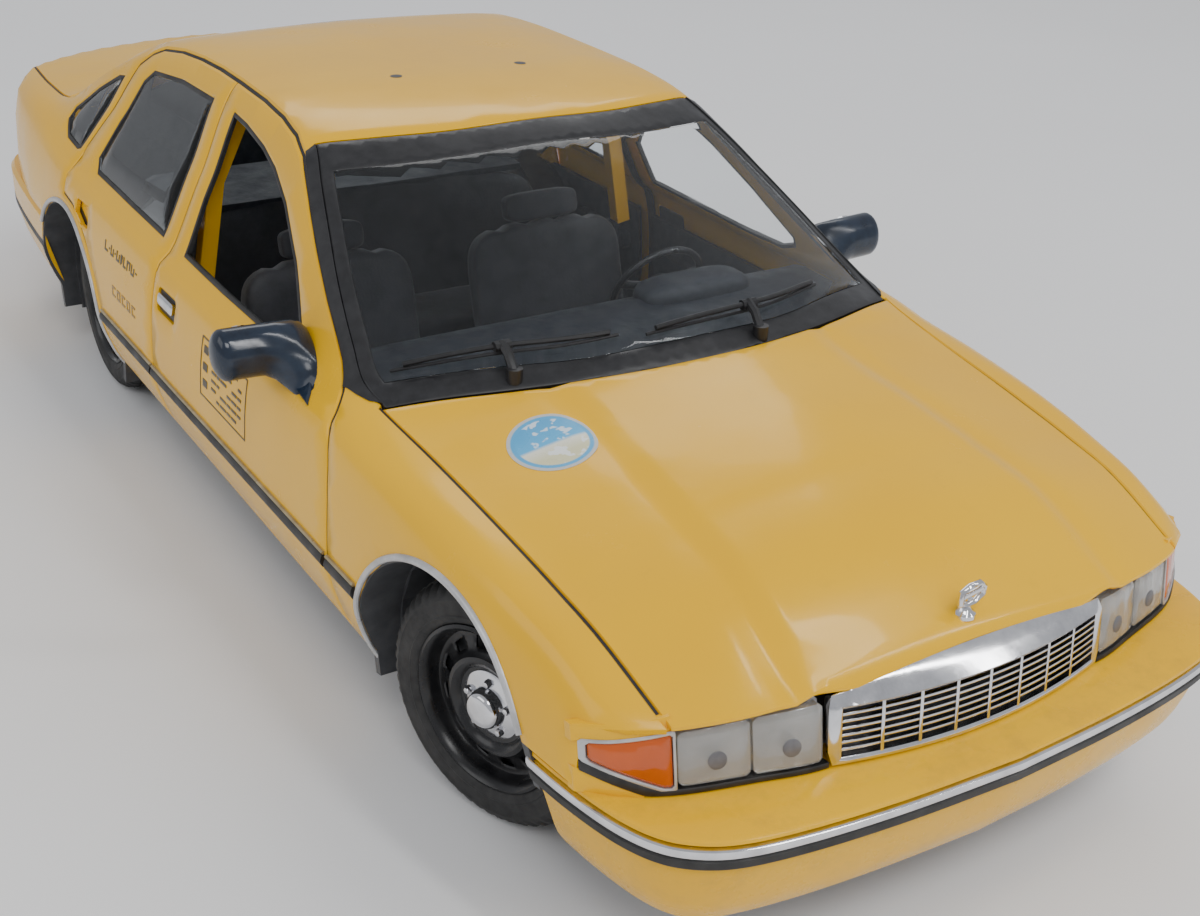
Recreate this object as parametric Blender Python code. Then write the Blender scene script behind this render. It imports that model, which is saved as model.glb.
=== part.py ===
"""Opening-door collector model of a four-door sedan cab, all driving dimensions in millimetres.

Frame: -Y is the nose, +X the driver's side, +Z up, origin under the middle of the car on its rest plane.
"""
from math import ceil, cos, hypot, pi, radians, sin, sqrt

import bmesh
import bpy
import numpy as np
from mathutils import Matrix, Vector
from mathutils.geometry import delaunay_2d_cdt

MM = 0.001
GRID = 13.0            # spacing of the inner points of a skin panel
EDGE = 9.0             # spacing of points along a panel outline
ROUND = 24             # sides of the round parts

SKIN = 1.1             # thickness of a cast panel
GAP = 0.25             # half the shut line between two panels
WHEEL_Y = (-94.0, 69.6)
WHEEL_Z = 18.3
TYRE_R = 18.3
TYRE_W = 12.0
RIM_R = 12.5
TRACK_HALF = 41.0
REAR_TRACK_HALF = 42.5
STEER_REST = 18.0      # degrees of left lock that the front wheels stand at
ARCH_F = (-95.5, 17.3, 23.3)
ARCH_R = (70.0, 17.6, 23.3)
SEAM_F = 28.4          # height of the seam between fender and front bumper
SEAM_R = 33.8
SILL = 15.4            # lower edge of the doors
NOSE_U = -126.0
TAIL_U = 125.0
TRUNK_U = 98.2
HOOD_AXIS = (-64.0, 51.0)
TRUNK_AXIS = (98.0, 57.6)
DOOR_AXIS_F = (54.4, -62.9)
DOOR_AXIS_R = (54.9, 15.2)

# Feature lines of one half of the body from sill to centre line, each as stations (y, x, z).
LINES = (
    ((-126, 48.5, 12.5), (-96, 49.6, 12.3), (0, 49.8, 12.3), (96, 49.8, 12.6), (125, 47.5, 14.0)),
    ((-126, 50.2, 19.0), (-96, 52.3, 18.2), (0, 52.8, 18.0), (70, 53.2, 18.2), (104, 52.3, 18.6), (125, 49.6, 20.0)),
    ((-126, 51.0, 28.0), (-110, 52.8, 27.6), (-96, 54.0, 27.3), (-62, 54.7, 27.0), (0, 54.9, 26.6),
     (70, 55.2, 26.0), (97, 54.4, 26.4), (112, 52.6, 27.0), (125, 50.2, 28.0)),
    ((-126, 50.6, 32.4), (-110, 52.2, 34.4), (-96, 53.5, 35.2), (-62, 54.3, 36.2), (0, 54.4, 36.0),
     (70, 54.8, 36.5), (97, 54.0, 37.5), (112, 52.2, 38.5), (125, 50.0, 39.5)),
    ((-126, 49.6, 35.7), (-118, 50.3, 37.9), (-110, 51.0, 39.8), (-96, 51.9, 42.6), (-80, 52.4, 44.7),
     (-62, 52.6, 45.8), (0, 52.4, 45.5), (35, 52.5, 46.4), (75, 52.6, 47.2), (100, 51.4, 48.2),
     (118, 49.9, 49.3), (125, 49.0, 48.6)),
    ((-126, 48.2, 36.9), (-115, 48.9, 41.6), (-96, 49.8, 45.3), (-80, 50.0, 47.0), (-70, 50.0, 47.8),
     (-62, 50.0, 48.9), (-50, 50.1, 48.1), (-24, 49.9, 47.7), (8, 49.9, 48.1), (58, 50.0, 48.8),
     (80, 50.0, 50.0), (97, 49.6, 51.4), (112, 48.6, 52.2), (125, 47.2, 51.6)),
    ((-126, 45.6, 37.4), (-115, 46.9, 42.6), (-96, 47.5, 46.1), (-80, 47.7, 47.7), (-70, 47.9, 48.8),
     (-62, 48.3, 49.9), (-55, 47.8, 51.2), (-43, 46.6, 54.0), (-27, 44.7, 58.6), (-10, 43.4, 61.2),
     (14, 43.2, 61.6), (45, 43.3, 61.3), (60, 43.9, 60.2), (76, 45.2, 57.6), (88, 46.3, 55.0),
     (97, 46.6, 54.0), (112, 46.2, 53.7), (125, 44.8, 52.9)),
    ((-126, 42.1, 37.5), (-114, 43.4, 43.2), (-98, 44.1, 45.9), (-80, 44.9, 48.1), (-66, 46.0, 49.9),
     (-60, 46.6, 51.2), (-53, 45.4, 54.6), (-43, 43.2, 60.2), (-35, 41.0, 65.0), (-27, 38.7, 69.8),
     (-19, 36.2, 74.1), (-12, 35.0, 76.0), (0, 34.2, 77.1), (25, 34.0, 77.4), (42, 34.3, 76.9),
     (52, 35.2, 75.6), (60, 36.5, 73.2), (75, 39.4, 66.6), (88, 41.8, 59.6), (96, 43.0, 55.9),
     (104, 43.4, 54.6), (112, 43.2, 54.4), (125, 41.6, 53.9)),
    ((-126, 26.0, 38.4), (-115, 25.0, 46.2), (-98, 24.2, 49.2), (-83, 22.6, 51.1), (-74, 23.0, 52.8),
     (-66, 23.5, 56.4), (-45, 22.5, 66.2), (-30, 21.0, 73.2), (-22, 20.0, 76.3), (-10, 20.0, 77.8),
     (0, 20.0, 78.3), (25, 20.0, 78.4), (45, 20.0, 77.6), (54, 20.5, 76.1), (75, 22.0, 67.6),
     (95, 24.0, 57.6), (100, 24.0, 56.6), (112, 24.0, 56.2), (125, 24.0, 55.6)),
    ((-126, 0, 40.2), (-115, 0, 47.6), (-98, 0, 51.0), (-85, 0, 52.4), (-77.7, 0, 53.4), (-73.9, 0, 55.4),
     (-66, 0, 59.4), (-45, 0, 68.7), (-33, 0, 73.9), (-26, 0, 76.6), (-12, 0, 78.3), (0, 0, 78.7),
     (25, 0, 78.7), (42, 0, 78.2), (52, 0, 77.0), (75, 0, 68.3), (95, 0, 58.4), (100, 0, 57.2),
     (112, 0, 56.8), (125, 0, 56.2)),
)
NOSE_BOW = (0, 0, 0, 0, 0, -2.3, -4.4, -6.3, -10.0, -10.0)
TAIL_BOW = (0, 0, 0, 0, 0, 3.0, 6.0, 10.0, 15.5, 18.0)
NOSE_FROM = -110.0
TAIL_FROM = 108.0

PAINT = ("cab_yellow", (0.83, 0.42, 0.006), 0.22, 0.0)
BLACK = ("satin_black", (0.012, 0.012, 0.013), 0.45, 0.0)
CHROME = ("chrome", (0.78, 0.78, 0.8), 0.12, 1.0)
GLASS = ("smoke_glass", (0.55, 0.6, 0.62), 0.05, 0.0)
LENS = ("clear_lens", (0.75, 0.76, 0.74), 0.12, 0.0)
AMBER = ("amber_lens", (0.8, 0.16, 0.02), 0.15, 0.0)
RED = ("red_lens", (0.45, 0.01, 0.01), 0.15, 0.0)
NAVY = ("mirror_navy", (0.008, 0.014, 0.03), 0.15, 0.0)
TYRE = ("tyre", (0.018, 0.018, 0.019), 0.75, 0.0)
RIMPAINT = ("rim_black", (0.012, 0.012, 0.013), 0.28, 0.0)
TRIM = ("cabin_grey", (0.035, 0.038, 0.045), 0.6, 0.0)
UNDER = ("chassis_black", (0.02, 0.02, 0.022), 0.6, 0.0)
IRON = ("engine_grey", (0.12, 0.12, 0.125), 0.5, 0.3)


# ---------------------------------------------------------------- curves and the master body surface
def slopes(t, f):
    """Monotone slopes at the knots t of the values f, so that no curve overshoots its stations."""
    h = np.diff(t)
    d = np.diff(f) / h
    m = np.zeros(len(t))
    m[0], m[-1] = d[0], d[-1]
    for i in range(1, len(t) - 1):
        if d[i - 1] * d[i] > 0:
            a = 2 * h[i] + h[i - 1]
            b = h[i] + 2 * h[i - 1]
            m[i] = (a + b) / (a / d[i - 1] + b / d[i])
    return m


def curve(stations, column=1):
    """Smooth function through one column of a list of stations."""
    t = np.array([s[0] for s in stations], float)
    f = np.array([s[column] for s in stations], float)
    m = slopes(t, f)

    def value(x):
        x = np.clip(np.asarray(x, float), t[0], t[-1])
        i = np.clip(np.searchsorted(t, x, side="right") - 1, 0, len(t) - 2)
        h = t[i + 1] - t[i]
        s = (x - t[i]) / h
        a = (1 + 2 * s) * (1 - s) ** 2
        b = s * (1 - s) ** 2
        c = s * s * (3 - 2 * s)
        e = s * s * (s - 1)
        return a * f[i] + b * h * m[i] + c * f[i + 1] + e * h * m[i + 1]

    return value


LINE_X = [curve(line, 1) for line in LINES]
LINE_Z = [curve(line, 2) for line in LINES]


def body(u, v):
    """Point of the body's outer surface: u runs along the car, v from one sill (0) to the other (18)."""
    u, v = np.broadcast_arrays(np.asarray(u, float), np.asarray(v, float))
    shape = u.shape
    u, v = u.ravel(), v.ravel()
    far = v > 9
    v = np.where(far, 18 - v, v)
    nose = np.clip((NOSE_FROM - u) / (NOSE_FROM - NOSE_U), 0, None)
    tail = np.clip((u - TAIL_FROM) / (TAIL_U - TAIL_FROM), 0, None)
    rows = []
    for k in range(10):
        y = u + NOSE_BOW[k] * nose + TAIL_BOW[k] * tail
        rows.append(np.stack([LINE_X[k](u), y, LINE_Z[k](u)]))
    rows.append(rows[8] * np.array([[-1], [1], [1]]))
    rows = np.array(rows)
    d = np.diff(rows, axis=0)
    m = np.zeros_like(rows)
    m[0], m[-1] = d[0], d[-1]
    both = d[:-1] * d[1:]
    m[1:-1] = np.where(both > 0, 2 * both / np.where(both > 0, d[:-1] + d[1:], 1), 0)
    i = np.clip(np.floor(v).astype(int), 0, 8)
    s = v - i
    n = np.arange(len(u))
    out = ((1 + 2 * s) * (1 - s) ** 2)[:, None] * rows[i, :, n] + (s * (1 - s) ** 2)[:, None] * m[i, :, n]
    out += (s * s * (3 - 2 * s))[:, None] * rows[i + 1, :, n] + (s * s * (s - 1))[:, None] * m[i + 1, :, n]
    out[:, 0] = np.where(far, -out[:, 0], out[:, 0])
    return out.reshape(shape + (3,))


def normals(surface, u, v, du=0.2, dv=0.02):
    a = surface(u + du, v) - surface(u - du, v)
    b = surface(u, v + dv) - surface(u, v - dv)
    n = np.cross(a, b)
    return n / np.maximum(np.linalg.norm(n, axis=-1, keepdims=True), 1e-9)


def side_v(y, z):
    """The v at which the body side passes height z at length y."""
    low, high = 0.0, 7.0
    for _ in range(40):
        mid = (low + high) / 2
        if body(y, mid)[2] < z:
            low = mid
        else:
            high = mid
    return low


def roof_x(u, v):
    return float(body(u, v)[0])


# ---------------------------------------------------------------- outlines
def dense(points, step, closed=True):
    out = []
    count = len(points) if closed else len(points) - 1
    for i in range(count):
        a, b = points[i], points[(i + 1) % len(points)]
        n = max(1, ceil(hypot(b[0] - a[0], b[1] - a[1]) / step))
        for k in range(n):
            out.append((a[0] + (b[0] - a[0]) * k / n, a[1] + (b[1] - a[1]) * k / n))
    if not closed:
        out.append(tuple(points[-1]))
    return out


def area(loop):
    return sum(a[0] * b[1] - b[0] * a[1] for a, b in zip(loop, loop[1:] + loop[:1])) / 2


def grow(loop, d):
    """The loop moved outward by d, inward for a negative d, corners mitred."""
    sign = 1 if area(loop) > 0 else -1
    out = []
    for i, p in enumerate(loop):
        a, b = loop[i - 1], loop[(i + 1) % len(loop)]
        e = Vector((p[0] - a[0], p[1] - a[1])).normalized()
        f = Vector((b[0] - p[0], b[1] - p[1])).normalized()
        n = Vector((e.y, -e.x)) + Vector((f.y, -f.x))
        k = d * sign * 2 / max(n.length_squared, 0.8)
        out.append((p[0] + n.x * k, p[1] + n.y * k))
    return out


def arc(centre, start, end, steps):
    """Points on a circle (y, z, radius), angles in degrees from +Y."""
    out = []
    for i in range(steps + 1):
        a = radians(start + (end - start) * i / steps)
        out.append((centre[0] + centre[2] * cos(a), centre[1] + centre[2] * sin(a)))
    return out


def to_uv(loop):
    return [(y, side_v(y, z)) for y, z in loop]


def inside(point, loops):
    hit = False
    x, y = point
    for loop in loops:
        for a, b in zip(loop, loop[1:] + loop[:1]):
            if (a[1] > y) != (b[1] > y) and x < (b[0] - a[0]) * (y - a[1]) / (b[1] - a[1]) + a[0]:
                hit = not hit
    return hit


def away(point, loops, reach):
    x, y = point
    for loop in loops:
        for p in loop:
            if (p[0] - x) ** 2 + (p[1] - y) ** 2 < reach * reach:
                return False
    return True


# ---------------------------------------------------------------- mesh makers
def finish(name, verts, faces, look, smooth=True, angle=35.0, origin=None):
    mesh = bpy.data.meshes.new(name)
    o = Vector(origin) if origin else Vector((0, 0, 0))
    mesh.from_pydata([((p[0] - o.x) * MM, (p[1] - o.y) * MM, (p[2] - o.z) * MM) for p in verts], [], faces)
    mesh.validate()
    bm = bmesh.new()
    bm.from_mesh(mesh)
    bmesh.ops.recalc_face_normals(bm, faces=bm.faces)
    if bm.calc_volume(signed=True) < 0:
        bmesh.ops.reverse_faces(bm, faces=bm.faces)
    bm.to_mesh(mesh)
    bm.free()
    for p in mesh.polygons:
        p.use_smooth = smooth
    if smooth:
        mesh.set_sharp_from_angle(angle=radians(angle))
    label, colour, rough, metal = look
    mat = bpy.data.materials.new(name + "_" + label)
    mat.use_nodes = True
    shader = mat.node_tree.nodes["Principled BSDF"]
    shader.inputs["Base Color"].default_value = (*colour, 1)
    shader.inputs["Roughness"].default_value = rough
    shader.inputs["Metallic"].default_value = metal
    mesh.materials.append(mat)
    obj = bpy.data.objects.new(name, mesh)
    obj.location = o * MM
    bpy.context.scene.collection.objects.link(obj)
    return obj


def sheet(surface, loops, thick, v_scale=10.0, grid=None, lift=0.0):
    """Closed panel over the region of (u, v) between the first loop and the others, set in from the surface."""
    grid = grid or GRID
    flat = [[(p[0], p[1] * v_scale) for p in loop] for loop in loops]
    points, edges = [], []
    for loop in flat:
        start = len(points)
        points += loop
        edges += [(start + i, start + (i + 1) % len(loop)) for i in range(len(loop))]
    xs = [p[0] for p in flat[0]]
    ys = [p[1] for p in flat[0]]
    nx = max(1, round((max(xs) - min(xs)) / grid))
    ny = max(1, round((max(ys) - min(ys)) / grid))
    for i in range(1, nx):
        for j in range(1, ny):
            p = (min(xs) + (max(xs) - min(xs)) * i / nx, min(ys) + (max(ys) - min(ys)) * j / ny)
            if inside(p, flat) and away(p, flat, grid * 0.45):
                points.append(p)
    verts, _, tris, _, _, _ = delaunay_2d_cdt([Vector(p) for p in points], edges, [], 0, 1e-5)
    keep = []
    for t in tris:
        c = (sum(verts[i].x for i in t) / 3, sum(verts[i].y for i in t) / 3)
        if inside(c, flat):
            keep.append(tuple(t))
    used = sorted({i for t in keep for i in t})
    index = {old: new for new, old in enumerate(used)}
    u = np.array([verts[i].x for i in used])
    v = np.array([verts[i].y / v_scale for i in used])
    top = surface(u, v)
    n = normals(surface, u, v)
    outer = top + n * lift
    inner = top + n * (lift - thick)
    k = len(used)
    faces = []
    count = {}
    for t in keep:
        a, b, c = (index[i] for i in t)
        faces.append((a, b, c))
        faces.append((c + k, b + k, a + k))
        for e in ((a, b), (b, c), (c, a)):
            count[e] = count.get(e, 0) + 1
    for (a, b) in list(count):
        if (b, a) not in count:
            faces.append((a, a + k, b + k))
            faces.append((a, b + k, b))
    return [tuple(p) for p in np.concatenate([outer, inner])], faces


def mirrored(verts, faces):
    return [(-p[0], p[1], p[2]) for p in verts], [tuple(reversed(f)) for f in faces]


def grid_solid(rings, closed_ring=True, caps=True):
    """Rings of equal length joined in order; the first and last are capped."""
    n = len(rings[0])
    verts = [p for ring in rings for p in ring]
    faces = []
    for i in range(len(rings) - 1):
        for j in range(n if closed_ring else n - 1):
            a, b = i * n + j, i * n + (j + 1) % n
            faces.append((a, b, b + n, a + n))
    if caps:
        faces.append(tuple(reversed(range(n))))
        faces.append(tuple(range(len(verts) - n, len(verts))))
    return verts, faces


def revolve(profile, axis_x=0.0, sides=ROUND, closed=True):
    """Profile (x, r) turned about the X axis."""
    rings = []
    for k in range(sides):
        a = 2 * pi * k / sides
        rings.append([(axis_x + x, r * cos(a), r * sin(a)) for x, r in profile])
    n = len(profile)
    verts = [p for ring in rings for p in ring]
    faces = []
    for i in range(sides):
        for j in range(n if closed else n - 1):
            a, b = i * n + j, i * n + (j + 1) % n
            c, d = ((i + 1) % sides) * n + (j + 1) % n, ((i + 1) % sides) * n + j
            faces.append((a, b, c, d))
    return verts, faces


def circle(x, y, radius, z, sides):
    """Flat ring of points round a vertical axis."""
    return [(x + radius * cos(2 * pi * k / sides), y + radius * sin(2 * pi * k / sides), z) for k in range(sides)]


def block(lo, hi):
    v = [(x, y, z) for x in (lo[0], hi[0]) for y in (lo[1], hi[1]) for z in (lo[2], hi[2])]
    f = [(0, 1, 3, 2), (4, 6, 7, 5), (0, 4, 5, 1), (2, 3, 7, 6), (0, 2, 6, 4), (1, 5, 7, 3)]
    return v, f


def prism(loop, lo, hi, axis="x"):
    """Outline extruded between lo and hi along an axis; the outline is (y, z), (x, z) or (x, y)."""
    def at(p, h):
        return {"x": (h, p[0], p[1]), "y": (p[0], h, p[1]), "z": (p[0], p[1], h)}[axis]
    return grid_solid([[at(p, lo) for p in loop], [at(p, hi) for p in loop]])


def union(name, parts, look, **kw):
    """One solid from overlapping closed pieces."""
    base = finish(name, *parts[0], look, **kw)
    for verts, faces in parts[1:]:
        tool = finish(name + "_tool", verts, faces, look)
        cut(base, tool, "UNION")
    return base


def cut(base, tool, operation="DIFFERENCE"):
    mod = base.modifiers.new("cut", "BOOLEAN")
    mod.operation = operation
    mod.solver = "EXACT"
    mod.object = tool
    bpy.context.view_layer.objects.active = base
    for o in bpy.context.selected_objects:
        o.select_set(False)
    base.select_set(True)
    bpy.context.view_layer.update()
    bpy.ops.object.modifier_apply(modifier=mod.name)
    data = tool.data
    bpy.data.objects.remove(tool)
    bpy.data.meshes.remove(data)
    while len(base.data.materials) > 1:
        base.data.materials.pop()


# ---------------------------------------------------------------- shut lines
PILLAR = [(-57.4, 50.2), (-53.2, 53.0), (-43.3, 58.3), (-35.2, 63.1), (-27.3, 68.2), (-19.4, 73.0), (-14.2, 74.8),
          (-7.1, 75.9), (1.7, 76.5), (13.4, 76.8)]
DOOR_SPLIT = 14.5
ROOF_EDGE = [(23.5, 76.9), (32.5, 76.7), (41.8, 76.1), (50.0, 74.9), (54.0, 73.3), (58.2, 70.6), (61.3, 66.0),
             (64.5, 61.1), (67.6, 56.6), (70.3, 52.4), (70.9, 48.8)]
ARCH_RING = (ARCH_R[0], ARCH_R[1], ARCH_R[2] + 2.4)
DOOR_ARCH = arc(ARCH_RING, 89.0, 180.0 + 4.9, 7)

FENDER_EDGE = [(-63.4, SILL), (-63.5, 26.0), (-63.4, 36.8), (-62.7, 41.6), (-61.3, 45.6), (-59.5, 48.3)]
FRONT_DOOR = FENDER_EDGE + PILLAR + [(DOOR_SPLIT, 76.8), (DOOR_SPLIT, 48.0), (DOOR_SPLIT, SILL)]
REAR_DOOR = [(DOOR_SPLIT, SILL), (DOOR_SPLIT, 48.0), (DOOR_SPLIT, 76.8)] + ROOF_EDGE + DOOR_ARCH
BOTH_DOORS = FRONT_DOOR[:-3] + ROOF_EDGE + DOOR_ARCH

FRONT_WINDOW = [(9.8, 72.9), (9.8, 58.4), (9.0, 48.9), (-10.0, 48.6), (-34.0, 48.7), (-39.0, 50.6), (-39.6, 52.8),
                (-30.5, 60.0), (-20.5, 66.2), (-12.6, 69.5), (-5.8, 71.2), (3.5, 72.5)]
REAR_WINDOW_D = [(19.6, 72.9), (19.6, 60.0), (19.6, 49.0), (38.0, 49.2), (60.0, 49.6), (62.6, 52.0), (59.0, 60.0),
                 (53.6, 68.6), (50.0, 71.2), (36.0, 72.6)]
QUARTER = [(63.6, 67.4), (68.6, 58.8), (72.8, 51.4), (74.6, 50.8), (81.6, 51.4), (86.6, 54.0), (86.0, 56.4),
           (76.0, 62.4), (67.0, 66.8)]


def hood_rear(v):
    """Length at which the hood ends at v."""
    return -64.9 - 12.8 * (1 - (abs(roof_x(-70, v)) / 46.0) ** 2)


def screen_top(v):
    return -26.3 + 7.6 * (roof_x(-24, v) / 37.0) ** 2


def glass_top(v):
    return screen_top(v) - 6.2


def glass_foot(v):
    return -73.9 + 14.0 * (roof_x(-70, v) / 45.0) ** 2


def backlight_top(v):
    return 51.0 + 6.0 * (roof_x(52, v) / 35.0) ** 2


def backlight_foot(v):
    return 95.0 - 3.5 * (roof_x(92, v) / 42.0) ** 2


def span(a, b, n):
    return [a + (b - a) * i / n for i in range(n + 1)]


def mirror_path(path):
    return path + [(u, 18 - v) for u, v in reversed(path) if v < 9 - 1e-6]


ALONG = 2 if GRID > 8 else 8
ACROSS = 4 if GRID > 8 else 16
PILLAR_U = span(-18.9, -64.3, 4 * ALONG)
HOOD_U = span(-64.7, NOSE_U, 3 * ALONG)
DECK_U = span(TRUNK_U + GAP, TAIL_U, 2 * ALONG)


def shell_loops():
    pillar_v = 7.06
    half = [(screen_top(v), v) for v in span(9, pillar_v, ACROSS)]
    half += [(u, pillar_v) for u in PILLAR_U[1:]]
    hood_v = 7 - 0.07
    half += [(u, hood_v) for u in HOOD_U]
    foot = side_v(NOSE_U, SEAM_F)
    half += [(NOSE_U, v) for v in span(hood_v, foot, 4)[1:]]
    a = np.degrees(np.arcsin((SEAM_F - ARCH_F[1]) / ARCH_F[2]))
    b = np.degrees(np.arcsin((12.3 - ARCH_F[1]) / ARCH_F[2]))
    front_arch = arc(ARCH_F, 180 - a, b, 10)
    half += [(u, side_v(u, SEAM_F)) for u in span(NOSE_U, front_arch[0][0], ALONG)[1:-1]]
    half += to_uv(front_arch[:-1])
    c = 180 - np.degrees(np.arcsin((12.3 - ARCH_R[1]) / ARCH_R[2]))
    d = np.degrees(np.arcsin((SEAM_R - ARCH_R[1]) / ARCH_R[2]))
    rear_arch = arc(ARCH_R, c, d, 10)
    half += [(u, 0.0) for u in span(front_arch[-1][0], rear_arch[0][0], 4 * ALONG)]
    half += to_uv(rear_arch[1:])
    half += [(u, side_v(u, SEAM_R)) for u in span(rear_arch[-1][0], TAIL_U, 2 * ALONG)[1:]]
    half += [(TAIL_U, v) for v in span(side_v(TAIL_U, SEAM_R), hood_v, 4)[1:]]
    half += [(u, hood_v) for u in DECK_U[::-1][1:]]
    half += [(TRUNK_U - GAP, v) for v in span(hood_v, 9, ACROSS)]
    outer = mirror_path(half)
    back = [(backlight_top(v), v) for v in span(9, 7.16, ACROSS)]
    back += [(u, 7.16) for u in span(back[-1][0], backlight_foot(7.16), 2 * ALONG)[1:-1]]
    back += [(backlight_foot(v), v) for v in span(7.16, 9, ACROSS)]
    doors = to_uv(grow(dense(BOTH_DOORS, EDGE * 1.6), GAP))
    quarter = to_uv(dense(QUARTER, EDGE * 1.6))
    holes = [mirror_path(back), doors, quarter]
    holes += [[(u, 18 - v) for u, v in loop] for loop in (doors, quarter)]
    return [outer] + holes


def deck_skirt(u, v):
    """Body surface whose lid turns down past the tail edge."""
    u = np.asarray(u, float)
    over = np.clip(u - TAIL_U, 0, None)
    p = body(np.minimum(u, TAIL_U), v)
    return p + np.stack([0 * over, 0.55 * over * np.exp(-over), -over], -1)


NOSE_LIP = 1.4         # length of the hood skin folded down over the grille


def nose_skirt(u, v):
    """Hood surface whose front edge folds forward and down to the grille between the lamps."""
    u = np.asarray(u, float)
    over = np.clip(NOSE_U - u, 0, None)
    p = body(np.maximum(u, NOSE_U), v)
    middle = np.clip((25.5 - np.abs(p[..., 0])) / 8.0, 0, 1)
    middle = middle * middle * (3 - 2 * middle)
    share = over / NOSE_LIP
    forward = share * (0.12 + 1.05 * middle)
    return p + np.stack([0 * over, -forward, -share * (0.5 + 0.75 * middle)], -1)


def main_body():
    verts, faces = sheet(body, shell_loops(), SKIN)
    return finish("body_shell", verts, faces, PAINT)


def hood():
    edge = 7 + 0.0125 * GAP / 0.25
    rear = [(hood_rear(v) - GAP, v) for v in span(edge, 18 - edge, 2 * ACROSS)]
    front = [(NOSE_U - NOSE_LIP, v) for v in span(18 - edge, edge, 4 * ACROSS)]
    side_a = [(u, 18 - edge) for u in HOOD_U if u < rear[0][0] - 1]
    side_b = [(u, edge) for u in HOOD_U[::-1] if u < rear[0][0] - 1]
    loop = rear + side_a + front + side_b
    verts, faces = sheet(nose_skirt, [loop], SKIN)
    return finish("hood", verts, faces, PAINT, origin=(0, *HOOD_AXIS))


def trunk_lid():
    edge = 7 + 0.0125 * GAP / 0.25
    u0, u1 = TRUNK_U + GAP, TAIL_U + 3.0
    loop = [(u0, v) for v in span(18 - edge, edge, 2 * ACROSS)]
    loop += [(u, edge) for u in DECK_U[1:]]
    loop += [(u1, v) for v in span(edge, 18 - edge, 2 * ACROSS)]
    loop += [(u, 18 - edge) for u in DECK_U[:0:-1]]
    verts, faces = sheet(deck_skirt, [loop], SKIN)
    return finish("trunk_lid", verts, faces, PAINT, origin=(0, *TRUNK_AXIS))


def door(name, outline, window, axis, side):
    loops = [to_uv(grow(dense(outline, EDGE), -GAP)), to_uv(dense(window, EDGE))]
    verts, faces = sheet(body, loops, SKIN)
    if side < 0:
        verts, faces = mirrored(verts, faces)
    return finish(name, verts, faces, PAINT, origin=(side * axis[0], axis[1], 0))


def door_card(name, outline, axis, side):
    """Trim panel standing inside the door skin below the window."""
    loop = [(y, z) for y, z in outline]
    verts, faces = sheet(body, [to_uv(dense(loop, 12.0))], 1.3, lift=-SKIN - 0.6, grid=20)
    if side < 0:
        verts, faces = mirrored(verts, faces)
    return finish(name, verts, faces, TRIM, origin=(side * axis[0], axis[1], 0))


def window_pane(name, loop, side, thick=0.7, gap=0.25, lift=-0.12, look=GLASS):
    verts, faces = sheet(body, [to_uv(grow(dense(loop, EDGE), -gap))], thick, lift=lift)
    if side < 0:
        verts, faces = mirrored(verts, faces)
    return finish(name, verts, faces, look)


def screen_ring():
    pillar_v = 7.06 + 0.018
    half = [(screen_top(v) - 0.3, v) for v in span(9, pillar_v, ACROSS)]
    half += [(u, pillar_v) for u in PILLAR_U[1:-1]]
    half += [(hood_rear(v) + GAP, v) for v in span(pillar_v, 9, ACROSS)]
    glass_v = 7.24
    inner = [(glass_top(v), v) for v in span(9, glass_v, ACROSS)]
    inner += [(u, glass_v) for u in span(inner[-1][0], glass_foot(glass_v), 3 * ALONG)[1:-1]]
    inner += [(glass_foot(v), v) for v in span(glass_v, 9, ACROSS)]
    return mirror_path(half), mirror_path(inner)


def windshield():
    outer, inner = screen_ring()
    verts, faces = sheet(body, [outer, inner], 0.9, lift=-0.1)
    finish("windshield_surround", verts, faces, BLACK)
    pane = shrink_uv(inner, 0.3)
    verts, faces = sheet(body, [pane], 0.7, lift=-0.1)
    finish("windshield", verts, faces, GLASS)


def shrink_uv(loop, d, v_scale=20.0):
    """A (u, v) loop moved inward by about d millimetres on the broad top surfaces."""
    flat = [(u, v * v_scale) for u, v in loop]
    return [(u, v / v_scale) for u, v in grow(flat, -d)]


def rear_window():
    back = [(backlight_top(v), v) for v in span(9, 7.16, ACROSS)]
    back += [(u, 7.16) for u in span(back[-1][0], backlight_foot(7.16), 2 * ALONG)[1:-1]]
    back += [(backlight_foot(v), v) for v in span(7.16, 9, ACROSS)]
    verts, faces = sheet(body, [shrink_uv(mirror_path(back), 0.3)], 0.8, lift=-0.12)
    finish("rear_window", verts, faces, GLASS)


# ---------------------------------------------------------------- nose and tail
BUMPER_A = ((0, 51.9, -116.2), (1, 51.3, -122.0), (2, 50.4, -127.5), (3, 48.9, -133.4), (4, 46.2, -138.6),
            (5, 40.0, -142.9), (6, 30.0, -145.1), (7, 15.0, -146.6), (8, 0.0, -147.3))
BUMPER_B = ((0, 50.2, -116.2), (1, 49.9, -121.5), (2, 49.4, -126.3), (3, 46.0, -131.2), (4, 41.0, -134.9),
            (5, 34.5, -137.6), (6, 26.0, -140.0), (7, 13.0, -142.6), (8, 0.0, -143.4))
REAR_A = ((0, 54.6, 88.0), (1, 53.8, 103.0), (2, 52.8, 116.0), (3, 51.6, 126.5), (4, 49.6, 134.2),
          (5, 43.5, 140.5), (6, 32.0, 144.4), (7, 16.0, 146.9), (8, 0.0, 147.65))
REAR_B = ((0, 52.9, 88.0), (1, 52.2, 103.0), (2, 51.0, 116.0), (3, 49.0, 126.2), (4, 46.0, 131.6),
          (5, 39.5, 136.6), (6, 29.0, 139.7), (7, 15.0, 142.0), (8, 0.0, 142.8))


def plan(table, t):
    return np.array([float(curve(table, 1)(t)), float(curve(table, 2)(t))])


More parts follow.
